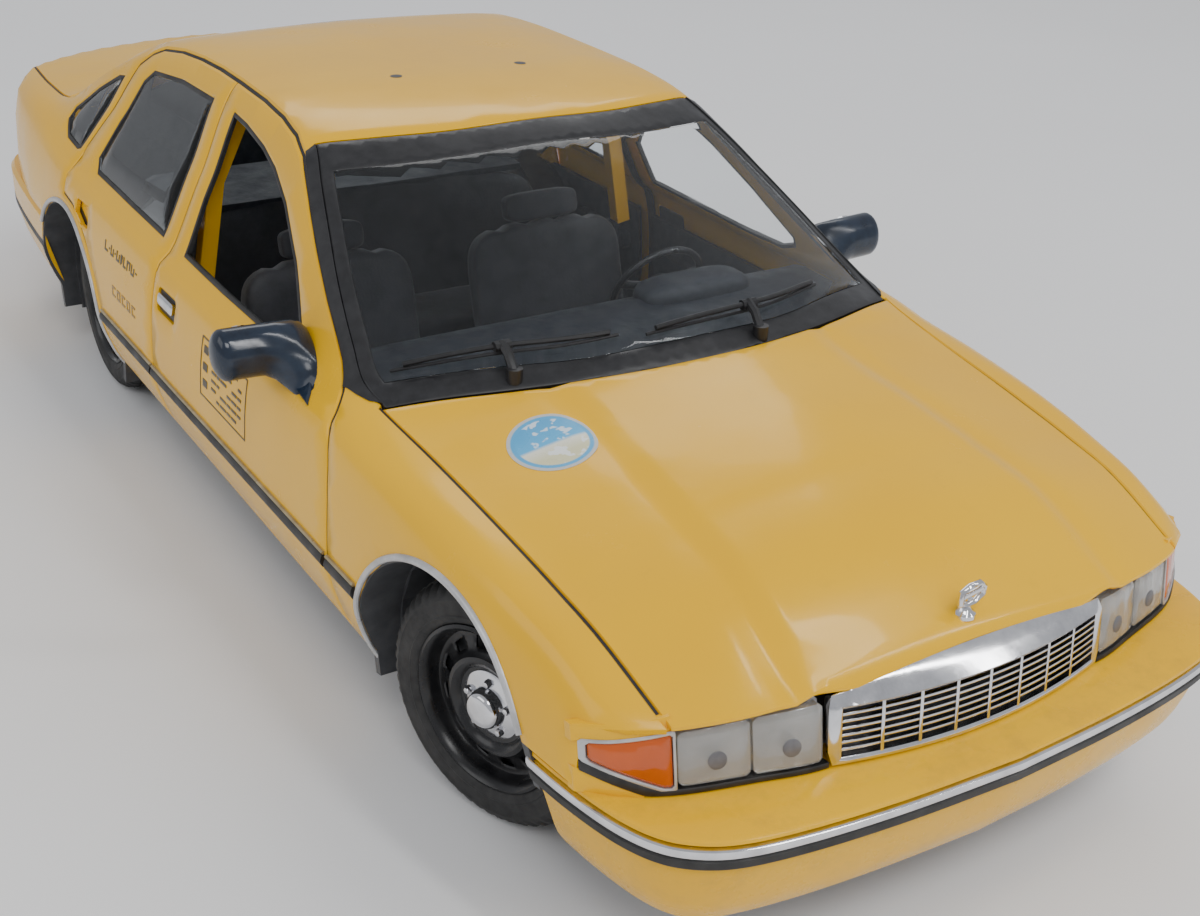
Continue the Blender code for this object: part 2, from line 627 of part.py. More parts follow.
def plan_out(table, t):
    """Outward normal of a bumper plan line."""
    d = plan(table, min(t + 0.05, 8)) - plan(table, max(t - 0.05, 0))
    d = d / np.linalg.norm(d)
    n = np.array([d[1], -d[0]])
    if np.dot(n, plan(table, t)) < 0:
        n = -n
    if t > 7.97:
        n = np.array([0.0, np.sign(plan(table, t)[1])])
    return n


def bumper(name, table_a, table_b, section, arch, look):
    """Section of (line, offset, z) points swept from the wheel arch round to the other arch."""
    steps = 12 if GRID > 8 else 64
    rings = []
    for k in range(-steps, steps + 1):
        share = abs(k) / steps
        ring = []
        for line, offset, z in section:
            table = table_a if line == "a" else table_b
            reach = sqrt(max(arch[2] ** 2 - (z - arch[1]) ** 2, 0))
            y_end = arch[0] + reach * (-1 if table[0][2] < 0 else 1)
            lo, hi = 0.0, 4.0
            for _ in range(30):
                mid = (lo + hi) / 2
                if abs(plan(table, mid)[1]) < abs(y_end) + 0.15:
                    lo = mid
                else:
                    hi = mid
            t = 8 - (8 - lo) * share ** 0.85
            p = plan(table, t) + plan_out(table, t) * offset
            ring.append((p[0] * (1 if k > 0 else -1) if k else 0.0, p[1], z))
        rings.append(ring)
    verts, faces = grid_solid(rings)
    return finish(name, verts, faces, look, angle=40)


FRONT_SECTION = (("a", -5.6, 12.2), ("a", -3.6, 15.0), ("a", -2.0, 19.5), ("a", -1.2, 23.6), ("a", -1.2, 27.2),
                 ("a", -0.1, 27.3), ("a", -0.8, 28.1), ("b", 0.0, 28.1), ("b", 0.0, 27.0), ("a", -2.6, 26.2),
                 ("a", -2.6, 23.6), ("a", -3.4, 19.5), ("a", -5.0, 15.0), ("a", -7.0, 12.2))
FRONT_TRIM = (("a", -1.0, 23.9), ("a", 0.0, 24.2), ("a", 0.35, 25.6), ("a", 0.2, 26.9), ("a", -1.0, 27.0))
REAR_SECTION = (("a", -5.0, 13.6), ("a", -3.2, 16.0), ("a", -1.2, 20.0), ("a", -0.3, 24.0), ("a", 0.0, 27.5),
                ("a", 0.0, 32.4), ("a", -0.8, 33.4), ("b", 0.0, 33.4), ("b", 0.0, 32.2), ("a", -2.0, 31.4),
                ("a", -1.8, 24.0), ("a", -2.8, 20.0), ("a", -4.8, 16.0), ("a", -6.6, 13.6))


LAMP_PLAN = ((0, -138.0), (23.4, -137.0), (32, -135.0), (41.4, -132.3), (47.5, -128.8), (50.6, -125.6))


def lamp_face(x, z):
    """Length of the lamps' front surface."""
    return float(curve(LAMP_PLAN)(x)) + 0.16 * (z - 33)


def lamp(name, x0, x1, z_low, z_high, look, side, depth=2.6, n=4):
    rings = []
    for x in span(x0, x1, n if GRID > 8 else 3 * n):
        lo, hi = z_low(x), z_high(x)
        ring = [(side * x, lamp_face(x, lo), lo), (side * x, lamp_face(x, (lo + hi) / 2) - 0.25, (lo + hi) / 2),
                (side * x, lamp_face(x, hi), hi), (side * x, lamp_face(x, hi) + depth, hi),
                (side * x, lamp_face(x, lo) + depth, lo)]
        rings.append(ring)
    verts, faces = grid_solid(rings)
    return finish(name, verts, faces, look, angle=30)


GRILLE_W = 22.3
GRILLE_TOP = 9.0


def grille_surface(x, w):
    """w runs up the chrome face from 0 at the bumper to 10 at the hood edge."""
    x = np.asarray(x, float)
    w = np.asarray(w, float)
    bow = 1 - (x / (GRILLE_W + 1)) ** 2
    up = np.clip(w, 0, 8)
    over = np.clip(w - 8, 0, None)
    y = -137.9 - 3.3 * bow + 0.11 * up + over * (0.2 + 1.2 * bow)
    z = 28.5 + up * (0.98 + 0.03 * bow) + over * (0.55 + 0.45 * bow)
    return np.stack([x, y, z], -1)


def grille():
    loop = [(x, 0.0) for x in span(-GRILLE_W, GRILLE_W, 8)]
    loop += [(GRILLE_W, 4.0), (GRILLE_W, 8.0)]
    loop += [(x, GRILLE_TOP) for x in span(GRILLE_W, -GRILLE_W, 8)]
    loop += [(-GRILLE_W, 8.0), (-GRILLE_W, 4.0)]
    loops = [loop]
    cols, rows = 8, 4
    wide = (2 * GRILLE_W - 2.4) / cols
    tall = 7.0 / rows
    for i in range(cols):
        for j in range(rows):
            x0, x1 = -GRILLE_W + 1.2 + wide * i + 0.35, -GRILLE_W + 1.2 + wide * (i + 1) - 0.35
            w0, w1 = 0.9 + tall * j + 0.2, 0.9 + tall * (j + 1) - 0.2
            loops.append([(x0, w0), (x1, w0), (x1, w1), (x0, w1)])
    verts, faces = sheet(grille_surface, loops, 0.9, v_scale=1.0, grid=400)
    finish("grille", verts, faces, CHROME, angle=30)


def header():
    """Black panel across the nose behind lamps and grille."""
    def surface(x, w):
        x, w = np.broadcast_arrays(np.asarray(x, float), np.asarray(w, float))
        y = curve(((0, -132.9), (23, -131.6), (32, -130.4), (41.4, -127.3), (46.5, -124.2)))(np.abs(x))
        return np.stack([x, y, 27.3 + w], -1)
    top = 8.0
    loop = [(x, 0.0) for x in span(-45.5, 45.5, 12)] + [(x, top) for x in span(45.5, -45.5, 12)]
    verts, faces = sheet(surface, [loop], 1.2, v_scale=1.0, grid=400)
    finish("header_panel", verts, faces, BLACK)


def tail_surface(x, w):
    x, w = np.broadcast_arrays(np.asarray(x, float), np.asarray(w, float))
    y = curve(((0, 141.7), (15, 140.9), (30, 138.3), (40.5, 134.9), (45.0, 131.0), (47.6, 126.4)))(np.abs(x))
    return np.stack([-x, y - 0.03 * w, 34.0 + w], -1)


def tail():
    loop = [(x, 0.0) for x in span(-46.6, 46.6, 14)] + [(x, 15.6) for x in span(45.4, -45.4, 14)]
    verts, faces = sheet(tail_surface, [loop], 1.2, v_scale=1.0, grid=400)
    finish("tail_panel", verts, faces, PAINT)
    for side, name in ((1, "taillight_left"), (-1, "taillight_right")):
        loop = [(-side * x, 2.2) for x in span(21.0, 45.8, 5)] + [(-side * x, 13.4) for x in span(45.8, 21.0, 5)]
        if area(loop) < 0:
            loop = loop[::-1]
        verts, faces = sheet(tail_surface, [loop], 1.1, v_scale=1.0, grid=400, lift=1.4)
        finish(name, verts, faces, RED)


# ---------------------------------------------------------------- small fittings
def rod(points, r, sides=6):
    """Tube of radius r through points, each ring square to its path."""
    rings = []
    pts = [Vector(p) for p in points]
    for i, p in enumerate(pts):
        d = (pts[min(i + 1, len(pts) - 1)] - pts[max(i - 1, 0)]).normalized()
        a = d.orthogonal().normalized()
        b = d.cross(a)
        if i:
            a = (last - d * last.dot(d)).normalized()
            b = d.cross(a)
        last = a
        rings.append([tuple(p + (a * cos(2 * pi * k / sides) + b * sin(2 * pi * k / sides)) * r) for k in range(sides)])
    return grid_solid(rings)


def wiper(name, x_mid, x_lo, x_hi):
    """Blade lying over the foot of the windshield with its clip and arm."""
    def over(x, forward, rise):
        v = 9.0
        low, high = 7.0, 9.0
        for _ in range(30):
            v = (low + high) / 2
            if roof_x(-66, v) > abs(x):
                low = v
            else:
                high = v
        u = glass_foot(v) + forward
        p = body(u, v if x >= 0 else 18 - v)
        return (float(p[0]), float(p[1]), float(p[2]) + rise)
    path = [over(x, 1.6, 1.1) for x in span(x_lo, x_hi, 6)]
    blade = rod(path, 0.55)
    m = over(x_mid, 1.2, 1.2)
    clip = block((m[0] - 1.6, m[1] - 1.9, m[2] - 0.6), (m[0] + 1.6, m[1] + 1.2, m[2] + 1.1))
    union(name, [blade, clip], BLACK)


def mirror_ring(t, sides, sink):
    """Section of the door mirror at share t of the way from the door skin to its tip."""
    w = min(t / 0.4, 1.0)
    w = w * w * (3 - 2 * w)
    long = 6.6 - 2.7 * w
    short = 2.0 + 1.3 * w
    if t > 0.85:
        shrink = sqrt(max(1 - ((t - 0.85) / 0.155) ** 2, 0.02))
        long, short = long * shrink, short * shrink
    turn = radians(22 + 60 * w)
    ring = []
    for k in range(sides):
        a = 2 * pi * k / sides
        y = -45.4 + 2.2 * w + 0.9 * t + long * cos(a) * cos(turn) - short * sin(a) * sin(turn)
        z = 49.7 + 2.5 * w + long * cos(a) * sin(turn) + short * sin(a) * cos(turn)
        x = float(body(y, side_v(y, z))[0]) + sink
        y = min(y, -36.5 - 3.5 * w)
        ring.append((x + (50.6 + 11.68 * t - x) * w, y, z))
    return ring


def mirror_head(name, side):
    """Door mirror: a swept arm growing out of the window corner into a flat-backed housing."""
    rings = []
    for t in (0, 0.1, 0.2, 0.3, 0.45, 0.8, 0.93, 1.0):
        rings.append([(side * x, y, z) for x, y, z in mirror_ring(t, 12, 0.7)])
    finish(name, *grid_solid(rings), NAVY, angle=60)


def handle(name, side):
    loop = grow([(2.9, 39.0), (12.0, 39.0), (12.0, 43.0), (2.9, 43.0)], 0)
    verts, faces = sheet(body, [to_uv(dense(loop, 5))], 0.8, lift=1.0, grid=50)
    if side < 0:
        verts, faces = mirrored(verts, faces)
    finish(name, verts, faces, BLACK)


def wheel(tag, x, y, side, steer):
    """Tyre, pressed rim and centre cap; side is the outward direction along X."""
    h = TYRE_W / 2
    spin = Matrix.Rotation(radians(steer), 4, "Z")
    place = Vector((x, y, WHEEL_Z))

    def put(name, profile, look, origin_shift=0.0):
        verts, faces = revolve([(side * a, r) for a, r in profile])
        verts = [tuple(spin @ Vector(p) + place) for p in verts]
        return finish(name, verts, faces, look, origin=tuple(place), angle=32)

    tyre = [(-h, 13.4), (-h, 16.2), (-h + 1.2, 17.8), (-h + 2.6, TYRE_R), (h - 2.6, TYRE_R), (h - 1.2, 17.8),
            (h, 16.2), (h, 13.4), (h - 1.0, RIM_R + 0.15), (-h + 1.0, RIM_R + 0.15)]
    put("tyre_" + tag, tyre, TYRE)
    rim = [(-h + 1.2, RIM_R - 0.15), (h - 0.7, RIM_R - 0.15), (h - 0.4, 11.6), (h - 2.2, 10.9), (h - 3.4, 9.6),
           (h - 3.0, 7.2), (h - 1.6, 5.2), (h - 1.6, 1.6), (h - 3.4, 1.6), (h - 3.4, 4.8), (h - 4.6, 7.0),
           (h - 4.8, 10.6), (-h + 1.2, 11.4)]
    put("rim_" + tag, rim, RIMPAINT)
    cap = [(h - 1.35, 0.0), (h - 1.35, 4.4), (h - 0.5, 4.1), (h - 0.2, 2.5), (h + 0.7, 2.3), (h + 0.9, 0.0)]
    verts, faces = revolve([(side * a, max(r, 0.0)) for a, r in cap], closed=False)
    verts, faces = weld(verts, faces)
    verts = [tuple(spin @ Vector(p) + place) for p in verts]
    finish("cap_" + tag, verts, faces, CHROME, origin=tuple(place), angle=32)


def weld(verts, faces):
    """Merges equal points and drops the faces that vanish."""
    key = {}
    new = []
    index = []
    for p in verts:
        k = tuple(round(c, 4) for c in p)
        if k not in key:
            key[k] = len(new)
            new.append(p)
        index.append(key[k])
    out = []
    for f in faces:
        g = []
        for i in f:
            j = index[i]
            if not g or g[-1] != j:
                g.append(j)
        if len(g) > 1 and g[0] == g[-1]:
            g.pop()
        if len(set(g)) > 2:
            out.append(tuple(g))
    return new, out


def knuckle(name, side):
    """Stub axle on its king pin."""
    x, y = side * TRACK_HALF, WHEEL_Y[0]
    spin = Matrix.Rotation(radians(STEER_REST), 4, "Z")
    place = Vector((x, y, WHEEL_Z))
    profile = [(side * -1.6, 0.0), (side * -1.6, 1.5), (side * 4.5, 1.5), (side * 4.5, 0.0)]
    stub, sf = revolve(profile, sides=12, closed=False)
    stub, sf = weld(stub, sf)
    stub = [tuple(spin @ Vector(p) + place) for p in stub]
    pin = grid_solid([circle(0, 0, 1.0, z, 12) for z in (-7.1, 7.3)])
    pin = ([tuple(spin @ Vector(p) + place) for p in pin[0]], pin[1])
    union(name, [(stub, sf), pin], UNDER, origin=tuple(place))


def rear_axle():
    y = WHEEL_Y[1]
    half = REAR_TRACK_HALF + 4.2
    verts, faces = revolve([(-half, 0.0), (-half, 1.5), (half, 1.5), (half, 0.0)], sides=12, closed=False)
    verts, faces = weld(verts, faces)
    finish("rear_axle", [(p[0], p[1] + y, p[2] + WHEEL_Z) for p in verts], faces, IRON, origin=(0, y, WHEEL_Z))


def chassis():
    """Base plate waisted for the wheels, with the four wheel wells standing on it."""
    parts = [block((-46, -70, 9.4), (46, 45.5, 11.6)), block((-25.5, -131, 9.6), (25.5, -69, 11.6)),
             block((-27.5, 45, 9.6), (27.5, 128, 11.6)), block((-40, -133, 9.8), (40, -119.8, 11.4)),
             block((-44, 94.4, 9.8), (44, 129, 11.4))]
    for (cy, cz, r), wall, last in ((ARCH_F, 25.0, 166), (ARCH_R, 27.0, 200)):
        for side in (1, -1):
            ring = []
            for radius in (r + 0.5, r - 0.7):
                pts = arc((cy, cz, radius), -20, last, 10)
                ring += pts if radius > r else pts[::-1]
            parts.append(prism(ring, side * wall, side * 47.6, "x"))
            disc = arc((cy, cz, r + 0.5), -20, 200, 10)
            parts.append(prism(disc, side * (wall - 1.2), side * (wall + 0.2), "x"))
    y = WHEEL_Y[0]
    for side in (1, -1):
        for z in (9.6, 25.8):
            a, b = sorted((side * 24.4, side * 41.6))
            parts.append(block((a, y - 1.2, z), (b, y + 1.2, z + 1.4)))
    base = union("chassis", parts, UNDER, smooth=True, angle=30)
    hole, hf = revolve([(-60.0, 0.0), (-60.0, 1.8), (60.0, 1.8), (60.0, 0.0)], sides=12, closed=False)
    hole, hf = weld(hole, hf)
    hole = [(p[0], p[1] + WHEEL_Y[1], p[2] + WHEEL_Z) for p in hole]
    cut(base, finish("axle_hole", hole, hf, UNDER))


def interior():
    parts = [block((-44.5, -58, 12.2), (44.5, 44, 13.6)), block((-5, -58, 13.0), (5, -24, 18)),
             block((-43.6, 13.0, 13.0), (-42.4, 16.4, 40)), block((42.4, 13.0, 13.0), (43.6, 16.4, 40))]
    union("interior_tub", parts, TRIM, smooth=False)


def seat(name, x0, x1, y0, y1, z0, back_y, top):
    loop = [(y0, z0), (y1 + 6, z0), (back_y + 9.5, top), (back_y + 5, top + 0.8), (y1 - 1.5, z0 + 8.5),
            (y0 + 1, z0 + 8.0), (y0 - 1, z0 + 6)]
    verts, faces = prism(loop, x0, x1, "x")
    finish(name, verts, faces, TRIM, angle=50)


def dashboard():
    loop = [(-60.5, 30), (-60.5, 47.2), (-56, 49.0), (-45, 49.6), (-40.5, 47.8), (-40.0, 43), (-44.5, 39),
            (-46.0, 30)]
    verts, faces = prism(loop, -44.0, 44.0, "x")
    parts = [(verts, faces), rod([(20, -44, 42), (20, -36.8, 45.6)], 1.3, 8)]
    union("dashboard", parts, TRIM, angle=50)


def steering_wheel():
    centre = Vector((20, -35.2, 46.4))
    tilt = Matrix.Rotation(radians(26), 4, "X") @ Matrix.Rotation(radians(90), 4, "Z")
    rings = []
    for k in range(20):
        a = 2 * pi * k / 20
        rings.append([(0.55 * sin(b), (8.6 + 0.55 * cos(b)) * cos(a), (8.6 + 0.55 * cos(b)) * sin(a))
                      for b in (0, pi / 2, pi, 3 * pi / 2)])
    n = 4
    verts = [p for r in rings for p in r]
    faces = []
    for i in range(20):
        for j in range(n):
            faces.append((i * n + j, i * n + (j + 1) % n, ((i + 1) % 20) * n + (j + 1) % n, ((i + 1) % 20) * n + j))
    verts = [tuple(tilt @ Vector(p) + centre) for p in verts]
    spoke = block((-0.35, -8.3, -0.9), (0.35, 8.3, 0.9))
    spoke = ([tuple(tilt @ Vector(p) + centre) for p in spoke[0]], spoke[1])
    hub, hf = revolve([(-0.8, 0.0), (-0.8, 2.4), (0.8, 2.4), (0.8, 0.0)], sides=12, closed=False)
    hub, hf = weld(hub, hf)
    hub = [tuple(tilt @ Vector(p) + centre) for p in hub]
    union("steering_wheel", [(verts, faces), spoke, (hub, hf)], BLACK)


def engine():
    parts = [block((-14, -118, 14), (14, -84, 30)), block((-9, -114, 29), (9, -88, 36))]
    cleaner = grid_solid([circle(0, -100, 8.5, z, 20) for z in (35.5, 39.5)])
    parts.append(cleaner)
    union("engine", parts, IRON, smooth=True, angle=40)


def ornament():
    steps = ((1.0, 41.0), (1.0, 41.6), (0.4, 42.0), (0.35, 43.6))
    base = grid_solid([circle(0, -134.4, 1.3 * s, z, 10) for s, z in steps])
    outline = ((-1.9, 43.2), (1.9, 43.2), (2.1, 45.6), (-2.1, 45.6))
    plate = grid_solid([[(x, -135.2 - 0.12 * (z - 43.0) + d, z) for x, z in outline] for d in (0.0, 1.0)])
    union("hood_ornament", [base, plate], CHROME)


def build():
    main_body()
    hood()
    trunk_lid()
    for side, tag in ((1, "left"), (-1, "right")):
        door("door_front_" + tag, FRONT_DOOR, FRONT_WINDOW, DOOR_AXIS_F, side)
        door("door_rear_" + tag, REAR_DOOR, REAR_WINDOW_D, DOOR_AXIS_R, side)
        door_card("card_front_" + tag, [(-57, 17.5), (12, 17.5), (12, 41.0), (-57, 41.0)], DOOR_AXIS_F, side)
        outline = [(18, 17.5), (40, 17.5), (43, 28), (50, 38), (54, 41.0), (18, 41.0)]
        door_card("card_rear_" + tag, outline, DOOR_AXIS_R, side)
        window_pane("pane_rear_" + tag, REAR_WINDOW_D, side)
        window_pane("quarter_glass_" + tag, QUARTER, side)
        handle("handle_" + tag, side)
        mirror_head("mirror_" + tag, side)
        wheel("front_" + tag, side * TRACK_HALF, WHEEL_Y[0], side, STEER_REST)
        wheel("rear_" + tag, side * REAR_TRACK_HALF, WHEEL_Y[1], side, 0.0)
        knuckle("knuckle_" + tag, side)
        lamp("headlight_" + tag, 23.0, 40.9, lambda x: 29.3, lambda x: 36.6 - 0.05 * (x - 23), LENS, side)
        lamp("signal_" + tag, 41.4, 48.3, lambda x: 29.3 + 0.30 * (x - 41.4), lambda x: 35.7 - 0.12 * (x - 41.4),
             AMBER, side, depth=1.8)
    windshield()
    rear_window()
    wiper("wiper_right", -28.0, -42.0, -11.0)
    wiper("wiper_left", 12.5, -7.0, 30.0)
    bumper("front_bumper", BUMPER_A, BUMPER_B, FRONT_SECTION, ARCH_F, PAINT)
    bumper("front_trim", BUMPER_A, BUMPER_B, FRONT_TRIM, ARCH_F, CHROME)
    bumper("rear_bumper", REAR_A, REAR_B, REAR_SECTION, ARCH_R, PAINT)
    grille()
    header()
    tail()
    rear_axle()
    chassis()
    interior()
    seat("seat_front", -40.0, 40.0, -22.0, 2.0, 14.0, 3.0, 45.0)
    seat("seat_rear", -40.0, 40.0, 18.0, 34.0, 14.0, 35.5, 45.5)
    dashboard()
    steering_wheel()
    engine()
    ornament()


for item in list(bpy.data.objects):
    bpy.data.objects.remove(item)
build()
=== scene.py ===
"""Looks of the opening-door collector cab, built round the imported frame.

Sizes are in millimetres, as in the frame times 1000.
"""

from math import ceil, cos, exp, hypot, pi, radians, sin, sqrt

import bmesh
import bpy
import numpy as np
from mathutils import Matrix, Vector
from mathutils.geometry import delaunay_2d_cdt


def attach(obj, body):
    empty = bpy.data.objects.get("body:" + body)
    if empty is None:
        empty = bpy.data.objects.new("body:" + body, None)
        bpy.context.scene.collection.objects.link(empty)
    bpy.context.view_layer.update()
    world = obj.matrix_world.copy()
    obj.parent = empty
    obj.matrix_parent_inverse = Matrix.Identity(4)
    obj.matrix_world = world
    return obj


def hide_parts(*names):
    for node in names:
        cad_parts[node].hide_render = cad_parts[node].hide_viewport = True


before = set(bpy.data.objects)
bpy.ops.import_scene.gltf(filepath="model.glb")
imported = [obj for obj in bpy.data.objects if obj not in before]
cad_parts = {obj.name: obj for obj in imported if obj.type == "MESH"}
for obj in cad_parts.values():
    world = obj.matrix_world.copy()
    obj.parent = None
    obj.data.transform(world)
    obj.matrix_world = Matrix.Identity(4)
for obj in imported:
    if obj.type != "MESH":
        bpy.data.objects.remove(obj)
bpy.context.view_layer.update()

MM = 0.001
GRID = 3.2             # spacing of the inner points of a skin panel
EDGE = 1.6             # spacing of points along a panel outline
ROLL = 0.38            # width of a panel's rolled edge
SKIN = 1.0
GAP = 0.22             # half the shut line between two panels
WHEEL_Y = (-94.0, 69.6)
WHEEL_Z = 18.3
TYRE_R = 18.3
TYRE_W = 12.0
TRACK_HALF = 41.0
REAR_TRACK_HALF = 42.5
STEER_REST = 18.0      # degrees of left lock that the front wheels stand at
ARCH_F = (-95.5, 17.3, 23.3)
ARCH_R = (70.0, 17.6, 23.3)
SEAM_F = 28.4          # height of the seam between fender and front bumper
SEAM_R = 33.8
SILL = 15.4            # lower edge of the doors
NOSE_U = -126.0
TAIL_U = 125.0
TRUNK_U = 98.2

# Feature lines of one half of the body from sill to centre line, each as stations (y, x, z).
LINES = (((-126, 48.5, 12.5), (-96, 49.6, 12.3), (0, 49.8, 12.3), (96, 49.8, 12.6),
          (125, 47.5, 14.0)), ((-126, 50.2, 19.0), (-96, 52.3, 18.2), (0, 52.8, 18.0),
                               (70, 53.2, 18.2), (104, 52.3, 18.6), (125, 49.6, 20.0)),
         ((-126, 51.0, 28.0), (-110, 52.8, 27.6), (-96, 54.0, 27.3), (-62, 54.7, 27.0),
          (0, 54.9, 26.6), (70, 55.2, 26.0), (97, 54.4, 26.4), (112, 52.6, 27.0),
          (125, 50.2, 28.0)), ((-126, 50.6, 32.4), (-110, 52.2, 34.4), (-96, 53.5, 35.2),
                               (-62, 54.3, 36.2), (0, 54.4, 36.0), (70, 54.8, 36.5),
                               (97, 54.0, 37.5), (112, 52.2, 38.5), (125, 50.0, 39.5)),
         ((-126, 49.6, 35.7), (-118, 50.3, 37.9), (-110, 51.0, 39.8), (-96, 51.9, 42.6),
          (-80, 52.4, 44.7), (-62, 52.6, 45.8), (0, 52.4, 45.5), (35, 52.5, 46.4), (75, 52.6, 47.2),
          (100, 51.4, 48.2), (118, 49.9, 49.3), (125, 49.0, 48.6)),
         ((-126, 48.2, 36.9), (-115, 48.9, 41.6), (-96, 49.8, 45.3), (-80, 50.0, 47.0),
          (-70, 50.0, 47.8), (-62, 50.0, 48.9), (-50, 50.1, 48.1), (-24, 49.9, 47.7),
          (8, 49.9, 48.1), (58, 50.0, 48.8), (80, 50.0, 50.0), (97, 49.6, 51.4), (112, 48.6, 52.2),
          (125, 47.2, 51.6)), ((-126, 45.6, 37.4), (-115, 46.9, 42.6), (-96, 47.5, 46.1),
                               (-80, 47.7, 47.7), (-70, 47.9, 48.8), (-62, 48.3, 49.9),
                               (-55, 47.8, 51.2), (-43, 46.6, 54.0), (-27, 44.7, 58.6),
                               (-10, 43.4, 61.2), (14, 43.2, 61.6), (45, 43.3, 61.3),
                               (60, 43.9, 60.2), (76, 45.2, 57.6), (88, 46.3, 55.0),
                               (97, 46.6, 54.0), (112, 46.2, 53.7), (125, 44.8, 52.9)),
         ((-126, 42.1, 37.5), (-114, 43.4, 43.2), (-98, 44.1, 45.9), (-80, 44.9, 48.1),
          (-66, 46.0, 49.9), (-60, 46.6, 51.2), (-53, 45.4, 54.6), (-43, 43.2, 60.2),
          (-35, 41.0, 65.0), (-27, 38.7, 69.8), (-19, 36.2, 74.1), (-12, 35.0, 76.0),
          (0, 34.2, 77.1), (25, 34.0, 77.4), (42, 34.3, 76.9), (52, 35.2, 75.6), (60, 36.5, 73.2),
          (75, 39.4, 66.6), (88, 41.8, 59.6), (96, 43.0, 55.9), (104, 43.4, 54.6),
          (112, 43.2, 54.4), (125, 41.6, 53.9)),
         ((-126, 26.0, 38.4), (-115, 25.0, 46.2), (-98, 24.2, 49.2), (-83, 22.6, 51.1),
          (-74, 23.0, 52.8), (-66, 23.5, 56.4), (-45, 22.5, 66.2), (-30, 21.0, 73.2),
          (-22, 20.0, 76.3), (-10, 20.0, 77.8), (0, 20.0, 78.3), (25, 20.0, 78.4), (45, 20.0, 77.6),
          (54, 20.5, 76.1), (75, 22.0, 67.6), (95, 24.0, 57.6), (100, 24.0, 56.6),
          (112, 24.0, 56.2), (125, 24.0, 55.6)),
         ((-126, 0, 40.2), (-115, 0, 47.6), (-98, 0, 51.0), (-85, 0, 52.4), (-77.7, 0, 53.4),
          (-73.9, 0, 55.4), (-66, 0, 59.4), (-45, 0, 68.7), (-33, 0, 73.9), (-26, 0, 76.6),
          (-12, 0, 78.3), (0, 0, 78.7), (25, 0, 78.7), (42, 0, 78.2), (52, 0, 77.0), (75, 0, 68.3),
          (95, 0, 58.4), (100, 0, 57.2), (112, 0, 56.8), (125, 0, 56.2)), )
NOSE_BOW = (0, 0, 0, 0, 0, -2.3, -4.4, -6.3, -10.0, -10.0)
TAIL_BOW = (0, 0, 0, 0, 0, 3.0, 6.0, 10.0, 15.5, 18.0)
NOSE_FROM = -110.0
TAIL_FROM = 108.0


# ---------------------------------------------------------------- curves and the master body surface
def slopes(t, f):
    """Monotone slopes at the knots t of the values f, so that no curve overshoots its stations."""
    h = np.diff(t)
    d = np.diff(f) / h
    m = np.zeros(len(t))
    m[0], m[-1] = d[0], d[-1]
    for i in range(1, len(t) - 1):
        if d[i - 1] * d[i] > 0:
            a = 2 * h[i] + h[i - 1]
            b = h[i] + 2 * h[i - 1]
            m[i] = (a + b) / (a / d[i - 1] + b / d[i])
    return m


def curve(stations, column=1):
    """Smooth function through one column of a list of stations."""
    t = np.array([s[0] for s in stations], float)
    f = np.array([s[column] for s in stations], float)
    m = slopes(t, f)

    def value(x):
        x = np.clip(np.asarray(x, float), t[0], t[-1])
        i = np.clip(np.searchsorted(t, x, side="right") - 1, 0, len(t) - 2)
        h = t[i + 1] - t[i]
        s = (x - t[i]) / h
        a = (1 + 2 * s) * (1 - s) ** 2
        b = s * (1 - s) ** 2
        c = s * s * (3 - 2 * s)
        e = s * s * (s - 1)
        return a * f[i] + b * h * m[i] + c * f[i + 1] + e * h * m[i + 1]

    return value


LINE_X = [curve(line, 1) for line in LINES]
LINE_Z = [curve(line, 2) for line in LINES]


def body(u, v):
    """Point of the body's outer surface: u runs along the car, v from one sill (0) to the other (18)."""
    u, v = np.broadcast_arrays(np.asarray(u, float), np.asarray(v, float))
    shape = u.shape
    u, v = u.ravel(), v.ravel()
    far = v > 9
    v = np.where(far, 18 - v, v)
    nose = np.clip((NOSE_FROM - u) / (NOSE_FROM - NOSE_U), 0, None)
    tail = np.clip((u - TAIL_FROM) / (TAIL_U - TAIL_FROM), 0, None)
    rows = []
    for k in range(10):
        y = u + NOSE_BOW[k] * nose + TAIL_BOW[k] * tail
        rows.append(np.stack([LINE_X[k](u), y, LINE_Z[k](u)]))
    rows.append(rows[8] * np.array([[-1], [1], [1]]))
    rows = np.array(rows)
    d = np.diff(rows, axis=0)
    m = np.zeros_like(rows)
    m[0], m[-1] = d[0], d[-1]
    both = d[:-1] * d[1:]
    m[1:-1] = np.where(both > 0, 2 * both / np.where(both > 0, d[:-1] + d[1:], 1), 0)
    i = np.clip(np.floor(v).astype(int), 0, 8)
    s = v - i
    n = np.arange(len(u))
    out = ((1 + 2 * s) * (1 - s) ** 2)[:, None] * rows[i, :, n] + (s * (1 - s) ** 2)[:, None] * m[i,
            :, n]
    out += (s * s * (3 - 2 * s))[:, None] * rows[i + 1, :, n] + (s * s * (s - 1))[:,
            None] * m[i + 1, :, n]
    out[:, 0] = np.where(far, -out[:, 0], out[:, 0])
    return out.reshape(shape + (3,))


def normals(surface, u, v, du=0.2, dv=0.02):
    """Unit normals of a surface at (u, v)."""
    a = surface(u + du, v) - surface(u - du, v)
    b = surface(u, v + dv) - surface(u, v - dv)
    n = np.cross(a, b)
    return n / np.maximum(np.linalg.norm(n, axis=-1, keepdims=True), 1e-9)


def side_v(y, z):
    """The v at which the body side passes height z at length y, for numbers or arrays."""
    y, z = np.broadcast_arrays(np.asarray(y, float), np.asarray(z, float))
    low, high = np.zeros(y.shape), np.full(y.shape, 7.0)
    for _ in range(26):
        mid = (low + high) / 2
        below = body(y, mid)[..., 2] < z
        low = np.where(below, mid, low)
        high = np.where(below, high, mid)
    return low


